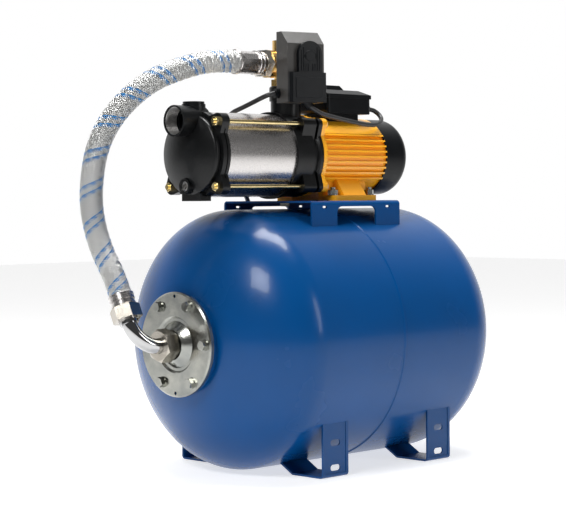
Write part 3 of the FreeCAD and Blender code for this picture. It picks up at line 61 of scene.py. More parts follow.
# %% Camera
EYE = Vector((-1.8786, -1.90656, 0.40158))
SWING = -0.7979
DIP = 0.0436
ROLL = -0.0075
LENS = 112.90
SHIFT = (-0.07965, 0.0215)

back = Vector((math.sin(SWING) * math.cos(DIP), -math.cos(SWING) * math.cos(DIP), math.sin(DIP)))
level = Vector((math.cos(SWING), math.sin(SWING), 0))
upright = back.cross(level)
right = level * math.cos(ROLL) + upright * math.sin(ROLL)
up = upright * math.cos(ROLL) - level * math.sin(ROLL)

bpy.ops.object.camera_add()
camera = bpy.context.object
camera.name = "studio_camera"
camera.matrix_world = Matrix.Translation(EYE) @ Matrix((right, up, back)).transposed().to_4x4()
camera.data.sensor_width = 36
camera.data.lens = LENS
camera.data.shift_x, camera.data.shift_y = SHIFT
camera.data.clip_end = 20
bpy.context.scene.camera = camera
print("camera at", [round(v, 3) for v in EYE])

# %% [markdown]
# ## Small helpers
# Each operator works on what is selected, so a helper clears the selection first. Another one
# closes a piece: its place goes into its mesh, it gets its material, and it rides on the body
# of the frame that it moves with.

# %% Helpers for every piece
def deselect():
    """Leave edit mode and clear the selection."""
    if bpy.context.object and bpy.context.object.mode != "OBJECT":
        bpy.ops.object.mode_set(mode="OBJECT")
    bpy.ops.object.select_all(action="DESELECT")


def pick(obj):
    """Make one piece the only selected and the active one."""
    deselect()
    obj.select_set(True)
    bpy.context.view_layer.objects.active = obj


def keep(obj, name, body, material):
    """Freeze a finished piece at the origin, name it, paint it and let it ride."""
    pick(obj)
    bpy.ops.object.transform_apply(location=True, rotation=True, scale=True)
    obj.name = name
    obj.data.name = name
    obj.data.materials.clear()
    obj.data.materials.append(material)
    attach(obj, body)
    return obj


# %% [markdown]
# ## Node groups
# Four effects come back in many finishes, so each is a node group with named inputs: a fine
# grain for castings and mouldings, drawn-out lines for brushed and drawn metal, a slow drift of
# tone that keeps a wide surface from looking flat, and dust that settles on what faces up.

# %% A helper that opens an empty node group
def open_group(name, inputs, outputs):
    """An empty group with its sockets, and its input and output nodes."""
    tree = bpy.data.node_groups.new(name, "ShaderNodeTree")
    for label, kind, value in inputs:
        socket = tree.interface.new_socket(label, in_out="INPUT", socket_type=kind)
        socket.default_value = value
    for label, kind in outputs:
        tree.interface.new_socket(label, in_out="OUTPUT", socket_type=kind)
    return tree, tree.nodes.new("NodeGroupInput"), tree.nodes.new("NodeGroupOutput")


def math_node(tree, operation, a, b, clamp=False):
    """One sum of two values, each a number or another node's output."""
    node = tree.nodes.new("ShaderNodeMath")
    node.operation = operation
    node.use_clamp = clamp
    for socket, value in zip(node.inputs, (a, b)):
        if isinstance(value, (int, float)):
            socket.default_value = value
        else:
            tree.links.new(value, socket)
    return node.outputs[0]


# %% Grain, lines, drift and dust
FLOAT, COLOUR, POINT = "NodeSocketFloat", "NodeSocketColor", "NodeSocketVector"
COARSE_SCALE, COARSE_HEIGHT = 0.11, 0.6      # of the fine grain's scale and height
DRIFT_FROM, DRIFT_GAIN = 0.3, 2.5            # where the dark tone starts, how fast it comes
DUST_FROM, DUST_GAIN, DUST_PATCHES = 0.5, 2, 55   # how far up a face looks, and patch scale


def object_noise(tree, scale_socket, detail, stretch=None):
    """Noise on the piece's own coordinates, stretched along an axis if asked."""
    place = tree.nodes.new("ShaderNodeTexCoord").outputs["Object"]
    if stretch is not None:
        drawn = tree.nodes.new("ShaderNodeVectorMath")
        drawn.operation = "MULTIPLY"
        tree.links.new(place, drawn.inputs[0])
        tree.links.new(stretch, drawn.inputs[1])
        place = drawn.outputs[0]
    noise = tree.nodes.new("ShaderNodeTexNoise")
    noise.inputs["Detail"].default_value = detail
    tree.links.new(place, noise.inputs["Vector"])
    if isinstance(scale_socket, (int, float)):
        noise.inputs["Scale"].default_value = scale_socket
    else:
        tree.links.new(scale_socket, noise.inputs["Scale"])
    return noise.outputs["Fac"]


def make_grain_group():
    tree, given, out = open_group("fine_grain", [("Scale", FLOAT, 400), ("Rough low", FLOAT, 0.3),
                                                 ("Rough high", FLOAT, 0.5)],
                                  [("Roughness", FLOAT), ("Height", FLOAT)])
    fine = object_noise(tree, given.outputs["Scale"], 4)
    coarse_scale = math_node(tree, "MULTIPLY", given.outputs["Scale"], COARSE_SCALE)
    coarse = object_noise(tree, coarse_scale, 3)
    span = math_node(tree, "SUBTRACT", given.outputs["Rough high"], given.outputs["Rough low"])
    part = math_node(tree, "MULTIPLY", span, coarse)
    rough = math_node(tree, "ADD", given.outputs["Rough low"], part)
    tree.links.new(rough, out.inputs["Roughness"])
    low = math_node(tree, "MULTIPLY", coarse, COARSE_HEIGHT)
    tree.links.new(math_node(tree, "ADD", fine, low), out.inputs["Height"])
    return tree


def make_lines_group():
    tree, given, out = open_group("drawn_lines", [("Scale", FLOAT, 60),
                                                  ("Stretch", POINT, (1, 1, 1)),
                                                  ("Rough low", FLOAT, 0.2),
                                                  ("Rough high", FLOAT, 0.4)],
                                  [("Roughness", FLOAT), ("Height", FLOAT)])
    lines = object_noise(tree, given.outputs["Scale"], 6, given.outputs["Stretch"])
    span = math_node(tree, "SUBTRACT", given.outputs["Rough high"], given.outputs["Rough low"])
    part = math_node(tree, "MULTIPLY", span, lines)
    rough = math_node(tree, "ADD", given.outputs["Rough low"], part)
    tree.links.new(rough, out.inputs["Roughness"])
    tree.links.new(lines, out.inputs["Height"])
    return tree


def make_drift_group():
    tree, given, out = open_group("tone_drift", [("Light", COLOUR, (1, 1, 1, 1)),
                                                 ("Dark", COLOUR, (0, 0, 0, 1)),
                                                 ("Scale", FLOAT, 6)],
                                  [("Colour", COLOUR)])
    noise = object_noise(tree, given.outputs["Scale"], 3)
    above = math_node(tree, "SUBTRACT", noise, DRIFT_FROM)
    sharper = math_node(tree, "MULTIPLY", above, DRIFT_GAIN, True)
    mix = tree.nodes.new("ShaderNodeMix")
    mix.data_type = "RGBA"
    tree.links.new(sharper, mix.inputs["Factor"])
    tree.links.new(given.outputs["Light"], mix.inputs["A"])
    tree.links.new(given.outputs["Dark"], mix.inputs["B"])
    tree.links.new(mix.outputs["Result"], out.inputs["Colour"])
    return tree


def make_dust_group():
    tree, given, out = open_group("settled_dust", [("Under", COLOUR, (1, 1, 1, 1)),
                                                   ("Dust", COLOUR, (0.4, 0.38, 0.34, 1)),
                                                   ("Amount", FLOAT, 0.1)], [("Colour", COLOUR)])
    normal = tree.nodes.new("ShaderNodeNewGeometry").outputs["Normal"]
    parts = tree.nodes.new("ShaderNodeSeparateXYZ")
    tree.links.new(normal, parts.inputs[0])
    above = math_node(tree, "SUBTRACT", parts.outputs["Z"], DUST_FROM)
    facing = math_node(tree, "MULTIPLY", above, DUST_GAIN, True)
    patch = object_noise(tree, DUST_PATCHES, 5)
    share = math_node(tree, "MULTIPLY", patch, given.outputs["Amount"])
    mask = math_node(tree, "MULTIPLY", facing, share)
    mix = tree.nodes.new("ShaderNodeMix")
    mix.data_type = "RGBA"
    tree.links.new(mask, mix.inputs["Factor"])
    tree.links.new(given.outputs["Under"], mix.inputs["A"])
    tree.links.new(given.outputs["Dust"], mix.inputs["B"])
    tree.links.new(mix.outputs["Result"], out.inputs["Colour"])
    return tree


GROUPS = {tree.name: tree for tree in (make_grain_group(), make_lines_group(),
                                       make_drift_group(), make_dust_group())}
print("node groups:", sorted(GROUPS))

# %% [markdown]
# ## Finishes
# One function wires the groups to a Principled shader. What is the same all over a surface, such
# as its metal share or its clear coat, is set on the shader's own socket. What changes over it,
# its colour, roughness and relief, comes from the groups.

# %% The finish function
def group_node(tree, name, **values):
    """One of the four groups, with its inputs set by name."""
    node = tree.nodes.new("ShaderNodeGroup")
    node.node_tree = GROUPS[name]
    for label, value in values.items():
        node.inputs[label.replace("_", " ")].default_value = value
    return node


def finish(name, light, dark, rough, relief, grain=400, metal=0.0, coat=0.0, stretch=None,
           dust=0.0, drift=6.0, extra=None):
    """A Principled material with drifting colour, uneven roughness and relief in millimetres."""
    material = bpy.data.materials.new(name)
    material.use_nodes = True
    tree = material.node_tree
    shader = tree.nodes["Principled BSDF"]
    shader.inputs["Metallic"].default_value = metal
    shader.inputs["Coat Weight"].default_value = coat
    shader.inputs["Coat Roughness"].default_value = 0.06
    for label, value in (extra or {}).items():
        shader.inputs[label].default_value = value
    tone = group_node(tree, "tone_drift", Light=light + (1,), Dark=dark + (1,), Scale=drift)
    colour = tone.outputs["Colour"]
    if dust:
        settled = group_node(tree, "settled_dust", Amount=dust)
        tree.links.new(colour, settled.inputs["Under"])
        colour = settled.outputs["Colour"]
    tree.links.new(colour, shader.inputs["Base Color"])
    if stretch:
        surface = group_node(tree, "drawn_lines", Scale=grain, Stretch=stretch,
                             Rough_low=rough[0], Rough_high=rough[1])
    else:
        surface = group_node(tree, "fine_grain", Scale=grain, Rough_low=rough[0],
                             Rough_high=rough[1])
    tree.links.new(surface.outputs["Roughness"], shader.inputs["Roughness"])
    bump = tree.nodes.new("ShaderNodeBump")
    bump.inputs["Strength"].default_value = 1.0
    bump.inputs["Distance"].default_value = relief * MM
    tree.links.new(surface.outputs["Height"], bump.inputs["Height"])
    tree.links.new(bump.outputs["Normal"], shader.inputs["Normal"])
    return material


# %% [markdown]
# The tank is sprayed and stoved in a glossy blue. Enamel has a faint orange peel, so the relief
# is shallow and wide, and a clear coat gives the hard reflections.

# %% Paints and castings
FINISH = {}
FINISH["tank_enamel"] = finish("tank_enamel", (0.0006, 0.060, 0.22), (0.0006, 0.050, 0.18),
                               (0.22, 0.30), 0.08, grain=90, coat=0.12, dust=0.01, drift=5,
                               extra={"Specular IOR Level": 0.18})
FINISH["orange_casting"] = finish("orange_casting", (1.0, 0.47, 0.010), (0.95, 0.41, 0.009),
                                  (0.28, 0.42), 0.18, grain=500, coat=0.25, dust=0.05, drift=14)
FINISH["black_casting"] = finish("black_casting", (0.0025, 0.003, 0.0035), (0.002, 0.0022, 0.0025),
                                 (0.26, 0.40), 0.22, grain=420, coat=0.06, dust=0.01, drift=18,
                                 extra={"Specular IOR Level": 0.25})

# %% [markdown]
# ## Bare and plated metals
# Rolled and drawn steel shows fine lines in the direction in which it was worked, so its noise
# is stretched. Zinc plate is brighter and slightly mottled, yellow passivated zinc is golden.

# %% Metals
FINISH["stainless"] = finish("stainless", (0.60, 0.575, 0.56), (0.56, 0.54, 0.53),
                             (0.22, 0.32), 0.004, grain=30, metal=1.0, stretch=(60, 14, 14), drift=6)
FINISH["zinc_plate"] = finish("zinc_plate", (0.42, 0.42, 0.38), (0.24, 0.25, 0.24),
                              (0.14, 0.30), 0.06, grain=220, metal=1.0, drift=30)
FINISH["yellow_zinc"] = finish("yellow_zinc", (0.90, 0.72, 0.36), (0.74, 0.60, 0.30), (0.16, 0.30),
                               0.03, grain=300, metal=1.0, drift=60)
FINISH["chrome"] = finish("chrome", (0.48, 0.48, 0.48), (0.42, 0.42, 0.42), (0.04, 0.10), 0.02,
                          grain=60, metal=1.0)
FINISH["nickel_brass"] = finish("nickel_brass", (0.50, 0.47, 0.42), (0.40, 0.37, 0.32),
                                (0.16, 0.30), 0.04, grain=260, metal=1.0, drift=40)
FINISH["brass"] = finish("brass", (0.86, 0.58, 0.22), (0.72, 0.46, 0.16), (0.18, 0.34), 0.05,
                         grain=240, metal=1.0, drift=35)
FINISH["steel"] = finish("steel", (0.52, 0.51, 0.50), (0.42, 0.41, 0.40), (0.25, 0.40), 0.04,
                         grain=60, metal=1.0, stretch=(8, 60, 60))
FINISH["lamination"] = finish("lamination", (0.34, 0.34, 0.36), (0.26, 0.26, 0.28), (0.4, 0.5), 0.2,
                              grain=60, metal=1.0, stretch=(60, 4, 4))
FINISH["copper"] = finish("copper", (0.70, 0.32, 0.16), (0.55, 0.22, 0.10), (0.3, 0.45), 0.3,
                          grain=60, metal=1.0, stretch=(50, 8, 8))

# %% [markdown]
# ## Plastics, rubber and ceramic
# Moulded plastic carries the fine grain of its mould. Cable sheath is softer and duller.

# %% Plastics and the rest
FINISH["black_plastic"] = finish("black_plastic", (0.0022, 0.003, 0.004), (0.0015, 0.002, 0.003),
                                 (0.28, 0.40), 0.05, grain=900, dust=0.01, drift=20,
                                 extra={"Specular IOR Level": 0.18})
FINISH["grey_plastic"] = finish("grey_plastic", (0.032, 0.030, 0.028), (0.024, 0.022, 0.020),
                                (0.42, 0.55), 0.10, grain=1400, dust=0.06, drift=14)
FINISH["cable_pvc"] = finish("cable_pvc", (0.012, 0.012, 0.013), (0.008, 0.008, 0.009), (0.38, 0.5),
                             0.06, grain=700, dust=0.05, drift=30)
FINISH["noryl"] = finish("noryl", (0.07, 0.07, 0.075), (0.05, 0.05, 0.055), (0.4, 0.5), 0.08,
                         grain=900)
FINISH["butyl"] = finish("butyl", (0.02, 0.02, 0.02), (0.014, 0.014, 0.014), (0.6, 0.75), 0.2,
                         grain=500)
FINISH["ceramic"] = finish("ceramic", (0.86, 0.85, 0.80), (0.80, 0.79, 0.74), (0.12, 0.2), 0.02,
                           grain=500)
FINISH["board"] = finish("board", (0.01, 0.16, 0.05), (0.008, 0.12, 0.04), (0.3, 0.4), 0.05,
                         grain=500)
print(len(FINISH), "finishes")

# %% Give every CAD node the finish of its material slot
for part in frame["record"]["subparts"]:
    node = NODES[part["node"]]
    look = FINISH.get(part["material_slot"], FINISH["steel"])
    node.data.materials.clear()
    node.data.materials.append(look)
print("painted", len(NODES), "CAD nodes")

# %% [markdown]
# ## Cables
# A cable lies in one smooth curve, so each is one NURBS spline whose control points are the
# places it passes. The spline's order is set after its points, because it is capped by them.

# %% A curve through a route
def cable(name, route, radius, body, material):
    """A round cable along a route that rides on a body of the frame."""
    curve = bpy.data.curves.new(name, "CURVE")
    curve.dimensions = "3D"
    curve.bevel_depth = radius
    curve.bevel_resolution = 5
    curve.resolution_u = 10
    spline = curve.splines.new("NURBS")
    spline.points.add(len(route) - 1)
    for point, place in zip(spline.points, route):
        point.co = (*place, 1)
    spline.order_u = 3
    spline.use_endpoint_u = True
    obj = bpy.data.objects.new(name, curve)
    bpy.context.scene.collection.objects.link(obj)
    obj.data.materials.append(material)
    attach(obj, body)
    return obj


def centreline(obj):
    """The points that the smooth curve really passes, in order."""
    bare = obj.data.copy()
    bare.bevel_depth = 0
    holder = bpy.data.objects.new("line", bare)
    mesh = bpy.data.meshes.new_from_object(holder)
    points = [v.co.copy() for v in mesh.vertices]
    bpy.data.meshes.remove(mesh)
    bpy.data.objects.remove(holder)
    return points


def line_length(points):
    """The length of a line of points."""
    return sum((b - a).length for a, b in zip(points, points[1:]))


def route_mm(points):
    """A route given in millimetres, as vectors in metres."""
    return [Vector(p) * MM for p in points]


# %% [markdown]
# ### The braided hose
# The hose leaves the tank's elbow, bows out past the end of the tank and comes back level with
# the pump's outlet. Its core is the smooth curve.

# %% The core of the hose
HOSE_WIDE = 0.033
BRAID_DEPTH = 0.0013     # how far the core lies under the hose's outside
HOSE_ROUTE = route_mm([(-304.5, 35.33, 265.44), (-304.5, 47.6, 290.6), (-318, 66.5, 338),
                       (-326.5, 75.5, 405), (-318, 60, 495), (-267, 25.5, 563),
                       (-192, 4.3, 591.5), (-147, 0, 598.1), (-115.6, 0, 598.1)])
hose = cable("braided_hose", HOSE_ROUTE, HOSE_WIDE / 2 - BRAID_DEPTH, "set",
             FINISH["butyl"])
hose_line = centreline(hose)
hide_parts("hose")
print("hose", round(line_length(hose_line), 4), "m,", len(hose_line), "points")

# %% [markdown]
# The braid is made of ribbons of steel wire, half of them winding each way. Every ribbon rises
# for two steps and dips for the next two. The two ways of winding aren't matched, so this isn't
# a true weave: at half of the crossings one ribbon passes over the other, and at the other half
# both have the same height and run through each other. Each ribbon is a thin closed strip laid
# along the hose's own line, and four blue ribbons mark the hose.

# %% Plan of the braid
CARRIERS = 16            # ribbons that wind each way
BRAID_PITCH = 0.049
RIBBON_WIDE = 0.0020
RIBBON_THICK = 0.0005
BRAID_LOW, BRAID_HIGH = 0.01525, 0.01600
BLUE_RIBBONS = (0, 1, 4, 5)
CROSSINGS = 2 * CARRIERS
CORNERS = 5              # of a ribbon's section
UV_STEP = 0.001


def even_frames(line, count):
    """Evenly spaced places on a line, each with two directions across it that don't twist."""
    steps = [0.0]
    for a, b in zip(line, line[1:]):
        steps.append(steps[-1] + (b - a).length)
    frames, side, k = [], Vector((0, 1, 0)), 0
    for n in range(count):
        want = steps[-1] * n / (count - 1)
        while k < len(steps) - 2 and steps[k + 1] < want:
            k += 1
        share = (want - steps[k]) / (steps[k + 1] - steps[k])
        place = line[k].lerp(line[k + 1], share)
        along = (line[min(k + 2, len(line) - 1)] - line[max(k - 1, 0)]).normalized()
        side = (side - along * side.dot(along)).normalized()
        frames.append((place, along, side, along.cross(side)))
    return frames


HOSE_LENGTH = line_length(hose_line)
STEPS = int(HOSE_LENGTH / BRAID_PITCH * CROSSINGS) + 1
HOSE_FRAMES = even_frames(hose_line, STEPS)
print("braid:", CARRIERS * 2, "ribbons of", STEPS, "steps")


# %% Lay the ribbons
def ribbon(carrier, way):
    """Corners and faces of one ribbon, and how far across it each corner lies."""
    corners, shares, faces = [], [], []
    for n, (place, along, side, third) in enumerate(HOSE_FRAMES):
        angle = way * 2 * math.pi * n / CROSSINGS + 2 * math.pi * carrier / CARRIERS
        over = (n + carrier * way + (0 if way > 0 else 2)) % 4 < 2
        height = BRAID_HIGH if over else BRAID_LOW
        out = side * math.cos(angle) + third * math.sin(angle)
        round_way = (third * math.cos(angle) - side * math.sin(angle)) * way
        rise = 2 * math.pi * BRAID_HIGH / BRAID_PITCH
        across = (round_way - along * rise).normalized()
        for share in (-0.5, 0.0, 0.5):
            crown = RIBBON_THICK * (1.0 - 2.0 * abs(share))
            corners.append(place + out * (height + crown) + across * RIBBON_WIDE * share)
        for share in (0.5, -0.5):
            corners.append(place + out * (height - RIBBON_THICK) + across * RIBBON_WIDE * share)
        shares += [0.0, 0.5, 1.0, 1.0, 0.0]
    for n in range(STEPS - 1):
        for c in range(CORNERS):
            a, b = n * CORNERS + c, n * CORNERS + (c + 1) % CORNERS
            faces.append((a, b, b + CORNERS, a + CORNERS))
    faces.append(tuple(reversed(range(CORNERS))))
    last = (STEPS - 1) * CORNERS
    faces.append(tuple(last + c for c in range(CORNERS)))
    return corners, faces, shares


def woven(name, chosen, material):
    """The chosen ribbons as one mesh; its UV runs across each ribbon."""
    corners, faces, shares = [], [], []
    for carrier, way in chosen:
        c, f, h = ribbon(carrier, way)
        start = len(corners)
        corners += c
        shares += h
        faces += [tuple(i + start for i in face) for face in f]
    mesh = bpy.data.meshes.new(name)
    mesh.from_pydata(corners, [], faces)
    layer = mesh.uv_layers.new(name="UVMap")
    for loop in mesh.loops:
        layer.data[loop.index].uv = (shares[loop.vertex_index], loop.vertex_index * UV_STEP)
    obj = bpy.data.objects.new(name, mesh)
    bpy.context.scene.collection.objects.link(obj)
    pick(obj)
    bpy.ops.object.mode_set(mode="EDIT")
    bpy.ops.mesh.select_all(action="SELECT")
    bpy.ops.mesh.normals_make_consistent(inside=False)
    bpy.ops.object.mode_set(mode="OBJECT")
    return keep(obj, name, "set", material)


WIRE_WAVES = 6           # across a ribbon; each wave is two wires
WIRE_HEIGHT = 0.12 * MM


def add_wires(material):
    """Fine wires side by side across each ribbon, raised from the ribbon's own UV."""
    tree = material.node_tree
    spot = tree.nodes.new("ShaderNodeUVMap")
    spot.uv_map = "UVMap"
    split = tree.nodes.new("ShaderNodeSeparateXYZ")
    tree.links.new(spot.outputs["UV"], split.inputs[0])
    turns = math_node(tree, "MULTIPLY", split.outputs["X"], 2 * math.pi * WIRE_WAVES)
    wave = math_node(tree, "ABSOLUTE", math_node(tree, "SINE", turns, 0), 0)
    bump = next(n for n in tree.nodes if n.bl_idname == "ShaderNodeBump")
    tree.links.new(wave, bump.inputs["Height"])
    bump.inputs["Distance"].default_value = WIRE_HEIGHT
    return material


FINISH["braid_wire"] = add_wires(finish("braid_wire", (0.60, 0.60, 0.59), (0.50, 0.50, 0.49),
                                        (0.26, 0.36), 0.1, grain=600, metal=1.0, drift=12))
FINISH["braid_blue"] = add_wires(finish("braid_blue", (0.02, 0.20, 0.50), (0.015, 0.16, 0.44),
                                        (0.35, 0.5), 0.1, grain=600, drift=60))
ALL_RIBBONS = [(c, way) for way in (1, -1) for c in range(CARRIERS)]
BLUE = [(c, 1) for c in BLUE_RIBBONS]
braid = woven("hose_braid", [r for r in ALL_RIBBONS if r not in BLUE], FINISH["braid_wire"])
markers = woven("hose_marker_threads", BLUE, FINISH["braid_blue"])
print("braid triangles", sum(len(p.vertices) - 2 for p in braid.data.polygons))

# %% The motor cable and the mains lead
CABLE_WIDE = 0.007
MOTOR_ROUTE = route_mm([(-24.34, -62.43, 533.76), (-12, -66, 526), (6, -64.5, 521.5),
                        (34, -62, 518), (70, -58, 513.5), (106, -55, 510), (128.7, -52, 510.3),
                        (144.8, -47, 513.9), (157, -40, 519.6), (160, -33, 526.7),
                        (156.8, -28, 531.9), (149.5, -26, 535.5), (139, -26, 535.5)])
motor_cable = cable("motor_flex", MOTOR_ROUTE, CABLE_WIDE / 2, "set",
                    FINISH["cable_pvc"])
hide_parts("motor_cable")
motor_length = line_length(centreline(motor_cable))
print("motor cable", round(motor_length, 4))

# %% [markdown]
# ### The mains lead
# It goes over the pump, down behind the tank, and what is left of it lies coiled on the floor
# behind the tank. Two turns lie side by side and the next ones lie on them.

# %% The mains lead with its coil
LEAD_ROUTE = [(-72.82, -39.61, 552), (-80, -36.5, 550.5), (-84, -26, 546.5), (-84.5, -6, 540),
              (-84, 18, 533), (-82, 46, 526), (-72, 76, 506), (-48, 92, 470), (-16, 102, 430),
              (18, 112, 390), (42, 130, 352), (56, 160, 311), (64, 187, 261), (66, 200, 205),
              (66, 202, 150), (65, 203, 100), (64, 203, 62), (64, 210, 30), (64, 232, 8)]
COIL_CENTRE = (104.0, 262.0)
COIL_R = 40.0
TURN_POINTS = 16
TURNS = 3.25
SHEATH = 7.0             # the cable's width, which is also the step between turns
COIL_LOW = 3.6           # height of the turns on the floor
CLIMB_FROM, CLIMB_OVER = 1.6, 0.5    # in turns


def coil_points():
    """Turns that wind inwards on the floor, then outwards on top of themselves."""
    points = []
    for k in range(1, int(TURNS * TURN_POINTS) + 1):
        turn = k / TURN_POINTS
        angle = math.pi - 2 * math.pi * turn
        step = min(turn, 1.0) if turn < 2 else 1.0 - min(turn - 2, 1.0)
        radius = COIL_R + SHEATH / 2 - SHEATH * step
        height = COIL_LOW + SHEATH * min(max(turn - CLIMB_FROM, 0.0) / CLIMB_OVER, 1.0)
        points.append((COIL_CENTRE[0] + radius * math.cos(angle),
                       COIL_CENTRE[1] + radius * math.sin(angle), height))
    return points


lead_points = LEAD_ROUTE + coil_points() + [(128, 305, 11), (146, 302, 17)]
lead = cable("mains_flex", route_mm(lead_points), CABLE_WIDE / 2, "set",
             FINISH["cable_pvc"])
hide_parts("mains_lead", "mains_coil", "mains_tail")
lead_length = line_length(centreline(lead))
print("mains lead", round(lead_length, 4))

# %% [markdown]
# ## The face of the controller
# The black cover has shallow upright flutes on its arch, a raised ring round its button and a
# plain raised panel below. Each is a primitive shaped in edit mode and set in the controller's
# own frame, which is turned a little on the pump's outlet.

# %% The controller's frame and a slim bar
AXIS_UP = 462.5
CTRL_FRAME = (Matrix.Translation(Vector((-12, 0, AXIS_UP)) * MM)
              @ Matrix.Rotation(math.radians(-15), 4, "Z")
              @ Matrix.Translation(Vector((-12, 0, 0)) * MM))
ARCH_FACE, PANEL_FACE = -89.0, -91.0
ARCH_X, BUTTON_UP = 4.0, 143.0
FLUTE_GAP, FLUTE_FOOT = 3.8, 121
FLUTE_WIDE, FLUTE_DEEP, FLUTE_EASE = 1.5, 1.4, 0.6
ARCH_TOP, ARCH_FALL = 161.0, 0.55    # the arch falls with the square of the flute's number
SHORT_MIDDLE, SHORT_TALL = 126.5, 11     # the flutes that end under the button's ring
PANEL_UP, PANEL_SIZE, PANEL_EASE = 97, (44, 1.6, 30), 0.7
RING_R, RING_THICK, RING_SCALE = 9.2, 0.9, 0.8


def eased_bar(centre, size, ease):
    """A bar with rounded edges, in millimetres of the controller's frame."""
    deselect()
    bpy.ops.mesh.primitive_cube_add(size=1)
    bar = bpy.context.object
    bar.matrix_world = CTRL_FRAME @ Matrix.Translation(Vector(centre) * MM)
    bar.scale = Vector(size) * MM
    bpy.ops.object.transform_apply(location=False, rotation=False, scale=True)
    bpy.ops.object.mode_set(mode="EDIT")
    bpy.ops.mesh.select_all(action="SELECT")
    bpy.ops.mesh.bevel(offset=ease * MM, segments=3, profile=0.5)
    bpy.ops.object.mode_set(mode="OBJECT")
    return bar


def joined(parts):
    """Several pieces made into one."""
    deselect()
    for part in parts:
        part.select_set(True)
    bpy.context.view_layer.objects.active = parts[0]
    bpy.ops.object.join()
    return bpy.context.object


# %% Flutes, panel and button ring
flutes = []
for n in range(-4, 5):
    if n == 0:
        continue
    middle, tall = SHORT_MIDDLE, SHORT_TALL
    if abs(n) > 2:
        top = ARCH_TOP - ARCH_FALL * n * n
        middle, tall = (FLUTE_FOOT + top) / 2, top - FLUTE_FOOT
    flutes.append(eased_bar((ARCH_X + FLUTE_GAP * n, ARCH_FACE, middle),
                            (FLUTE_WIDE, FLUTE_DEEP, tall), FLUTE_EASE))
flutes.append(eased_bar((0, PANEL_FACE, PANEL_UP), PANEL_SIZE, PANEL_EASE))
deselect()
bpy.ops.mesh.primitive_torus_add(major_radius=RING_R * MM, minor_radius=RING_THICK * MM,
                                 major_segments=64, minor_segments=12)
ring = bpy.context.object
ring.matrix_world = (CTRL_FRAME @ Matrix.Translation(Vector((ARCH_X, ARCH_FACE, BUTTON_UP)) * MM)
                     @ Matrix.Rotation(math.radians(90), 4, "X"))
bpy.ops.object.mode_set(mode="EDIT")
bpy.ops.mesh.select_all(action="SELECT")
bpy.ops.transform.resize(value=(1, 1, RING_SCALE))
bpy.ops.object.mode_set(mode="OBJECT")
face_detail = keep(joined(flutes + [ring]), "cover_flutes", "set",
                   FINISH["black_plastic"])
print("cover detail", len(face_detail.data.polygons), "faces")

# %% [markdown]
# ## Pipe threads
# The suction and delivery ports are tapped. Plain rings at the pitch of a pipe thread stand in
# for its one winding ridge and catch the light in the bore.

# %% Threads in both ports
THREAD_PITCH, RIDGE_R = 2.31, 0.75
SUCTION_RISE = 47        # of the suction port over the shaft


def thread(name, start, axis, radius, turns, look):
    """Rings along an axis from a start, in millimetres."""
    ridges = []
    for n in range(turns):
        deselect()
        bpy.ops.mesh.primitive_torus_add(major_radius=radius * MM, minor_radius=RIDGE_R * MM,
                                         major_segments=72, minor_segments=8)
        ridge = bpy.context.object
        place = Vector(start) + Vector(axis) * THREAD_PITCH * n
        ridge.matrix_world = (Matrix.Translation(place * MM)
                              @ Vector(axis).to_track_quat("Z", "Y").to_matrix().to_4x4())
        ridges.append(ridge)
    keep(joined(ridges), name, "set", look)


thread("suction_thread", (-230.5, 0, AXIS_UP + SUCTION_RISE), (1, 0, 0), 19.5, 9,
       FINISH["steel"])
thread("delivery_thread", (-12, 0, 631.5), (0, 0, -1), 15.2, 6, FINISH["brass"])
print("threads cut")

# %% [markdown]
# ## Studio
# A pale floor and soft, even light, as for a catalogue picture. Large soft lamps give the long
# highlights on the enamel and on the steel sleeve.

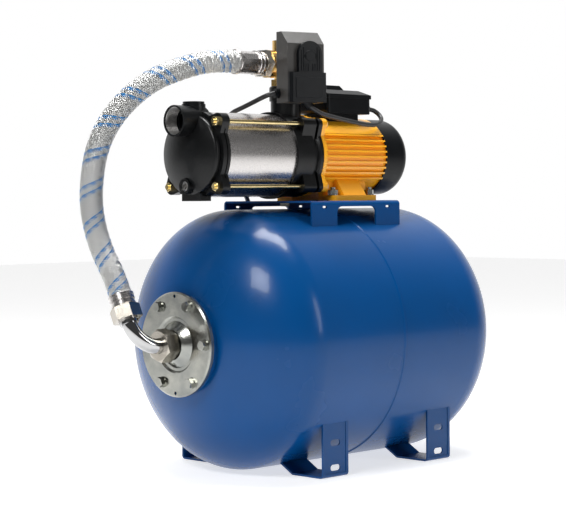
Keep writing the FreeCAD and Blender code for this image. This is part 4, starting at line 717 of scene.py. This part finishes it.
# %% Floor
FLOOR_SIZE = 14
bpy.ops.mesh.primitive_plane_add(size=FLOOR_SIZE, location=(0, 0, 0))
floor = bpy.context.object
floor.name = "studio_floor"
FLOOR_GLOW = {"Emission Color": (1, 1, 1, 1), "Emission Strength": 0.66}
floor.data.materials.append(finish("floor_paper", (0.62, 0.62, 0.62), (0.60, 0.60, 0.60),
                                   (0.7, 0.8), 0.05, grain=60, extra=FLOOR_GLOW))

# %% Lamps and the white room
def soft_lamp(name, place, aim, size, watts, tint=(1, 1, 1)):
    """A rectangular lamp that looks at a place."""
    bpy.ops.object.light_add(type="AREA", location=place)
    lamp = bpy.context.object
    lamp.name = name
    lamp.data.shape = "RECTANGLE"
    lamp.data.size, lamp.data.size_y = size
    lamp.data.energy = watts
    lamp.data.color = tint
    lamp.rotation_euler = (Vector(aim) - Vector(place)).to_track_quat("-Z", "Y").to_euler()


soft_lamp("key_left", (-2.4, -0.6, 2.2), (0, 0, 0.35), (0.9, 0.9), 50)
soft_lamp("fill_right", (1.0, -2.8, 1.2), (0, 0, 0.3), (0.5, 1.4), 14)
soft_lamp("top", (0.1, 0.1, 2.3), (0, 0, 0.3), (1.4, 0.7), 62)

# %% The room: white behind the set, dim in front of it
BEHIND = Vector((0.70, 0.71, 0.0))
DIM, BRIGHT = 0.08, 1.0
DIM_TO, BRIGHT_FROM = 0.1, 0.8   # how much a direction points behind the set
world = bpy.data.worlds.new("white_room")
world.use_nodes = True
room = world.node_tree
ground = room.nodes["Background"]
ground.inputs["Color"].default_value = (1, 1, 1, 1)
heading = room.nodes.new("ShaderNodeTexCoord").outputs["Generated"]
facing = room.nodes.new("ShaderNodeVectorMath")
facing.operation = "DOT_PRODUCT"
facing.inputs[1].default_value = BEHIND
room.links.new(heading, facing.inputs[0])
ramp = room.nodes.new("ShaderNodeMapRange")
ramp.interpolation_type = "SMOOTHSTEP"
for label, value in (("From Min", DIM_TO), ("From Max", BRIGHT_FROM), ("To Min", DIM),
                     ("To Max", BRIGHT)):
    ramp.inputs[label].default_value = value
room.links.new(facing.outputs["Value"], ramp.inputs["Value"])
room.links.new(ramp.outputs["Result"], ground.inputs["Strength"])
bpy.context.scene.world = world
bpy.context.scene.view_settings.view_transform = "Standard"

# %% [markdown]
# ## Close

# %% Bring the view layer up to date
bpy.context.view_layer.update()
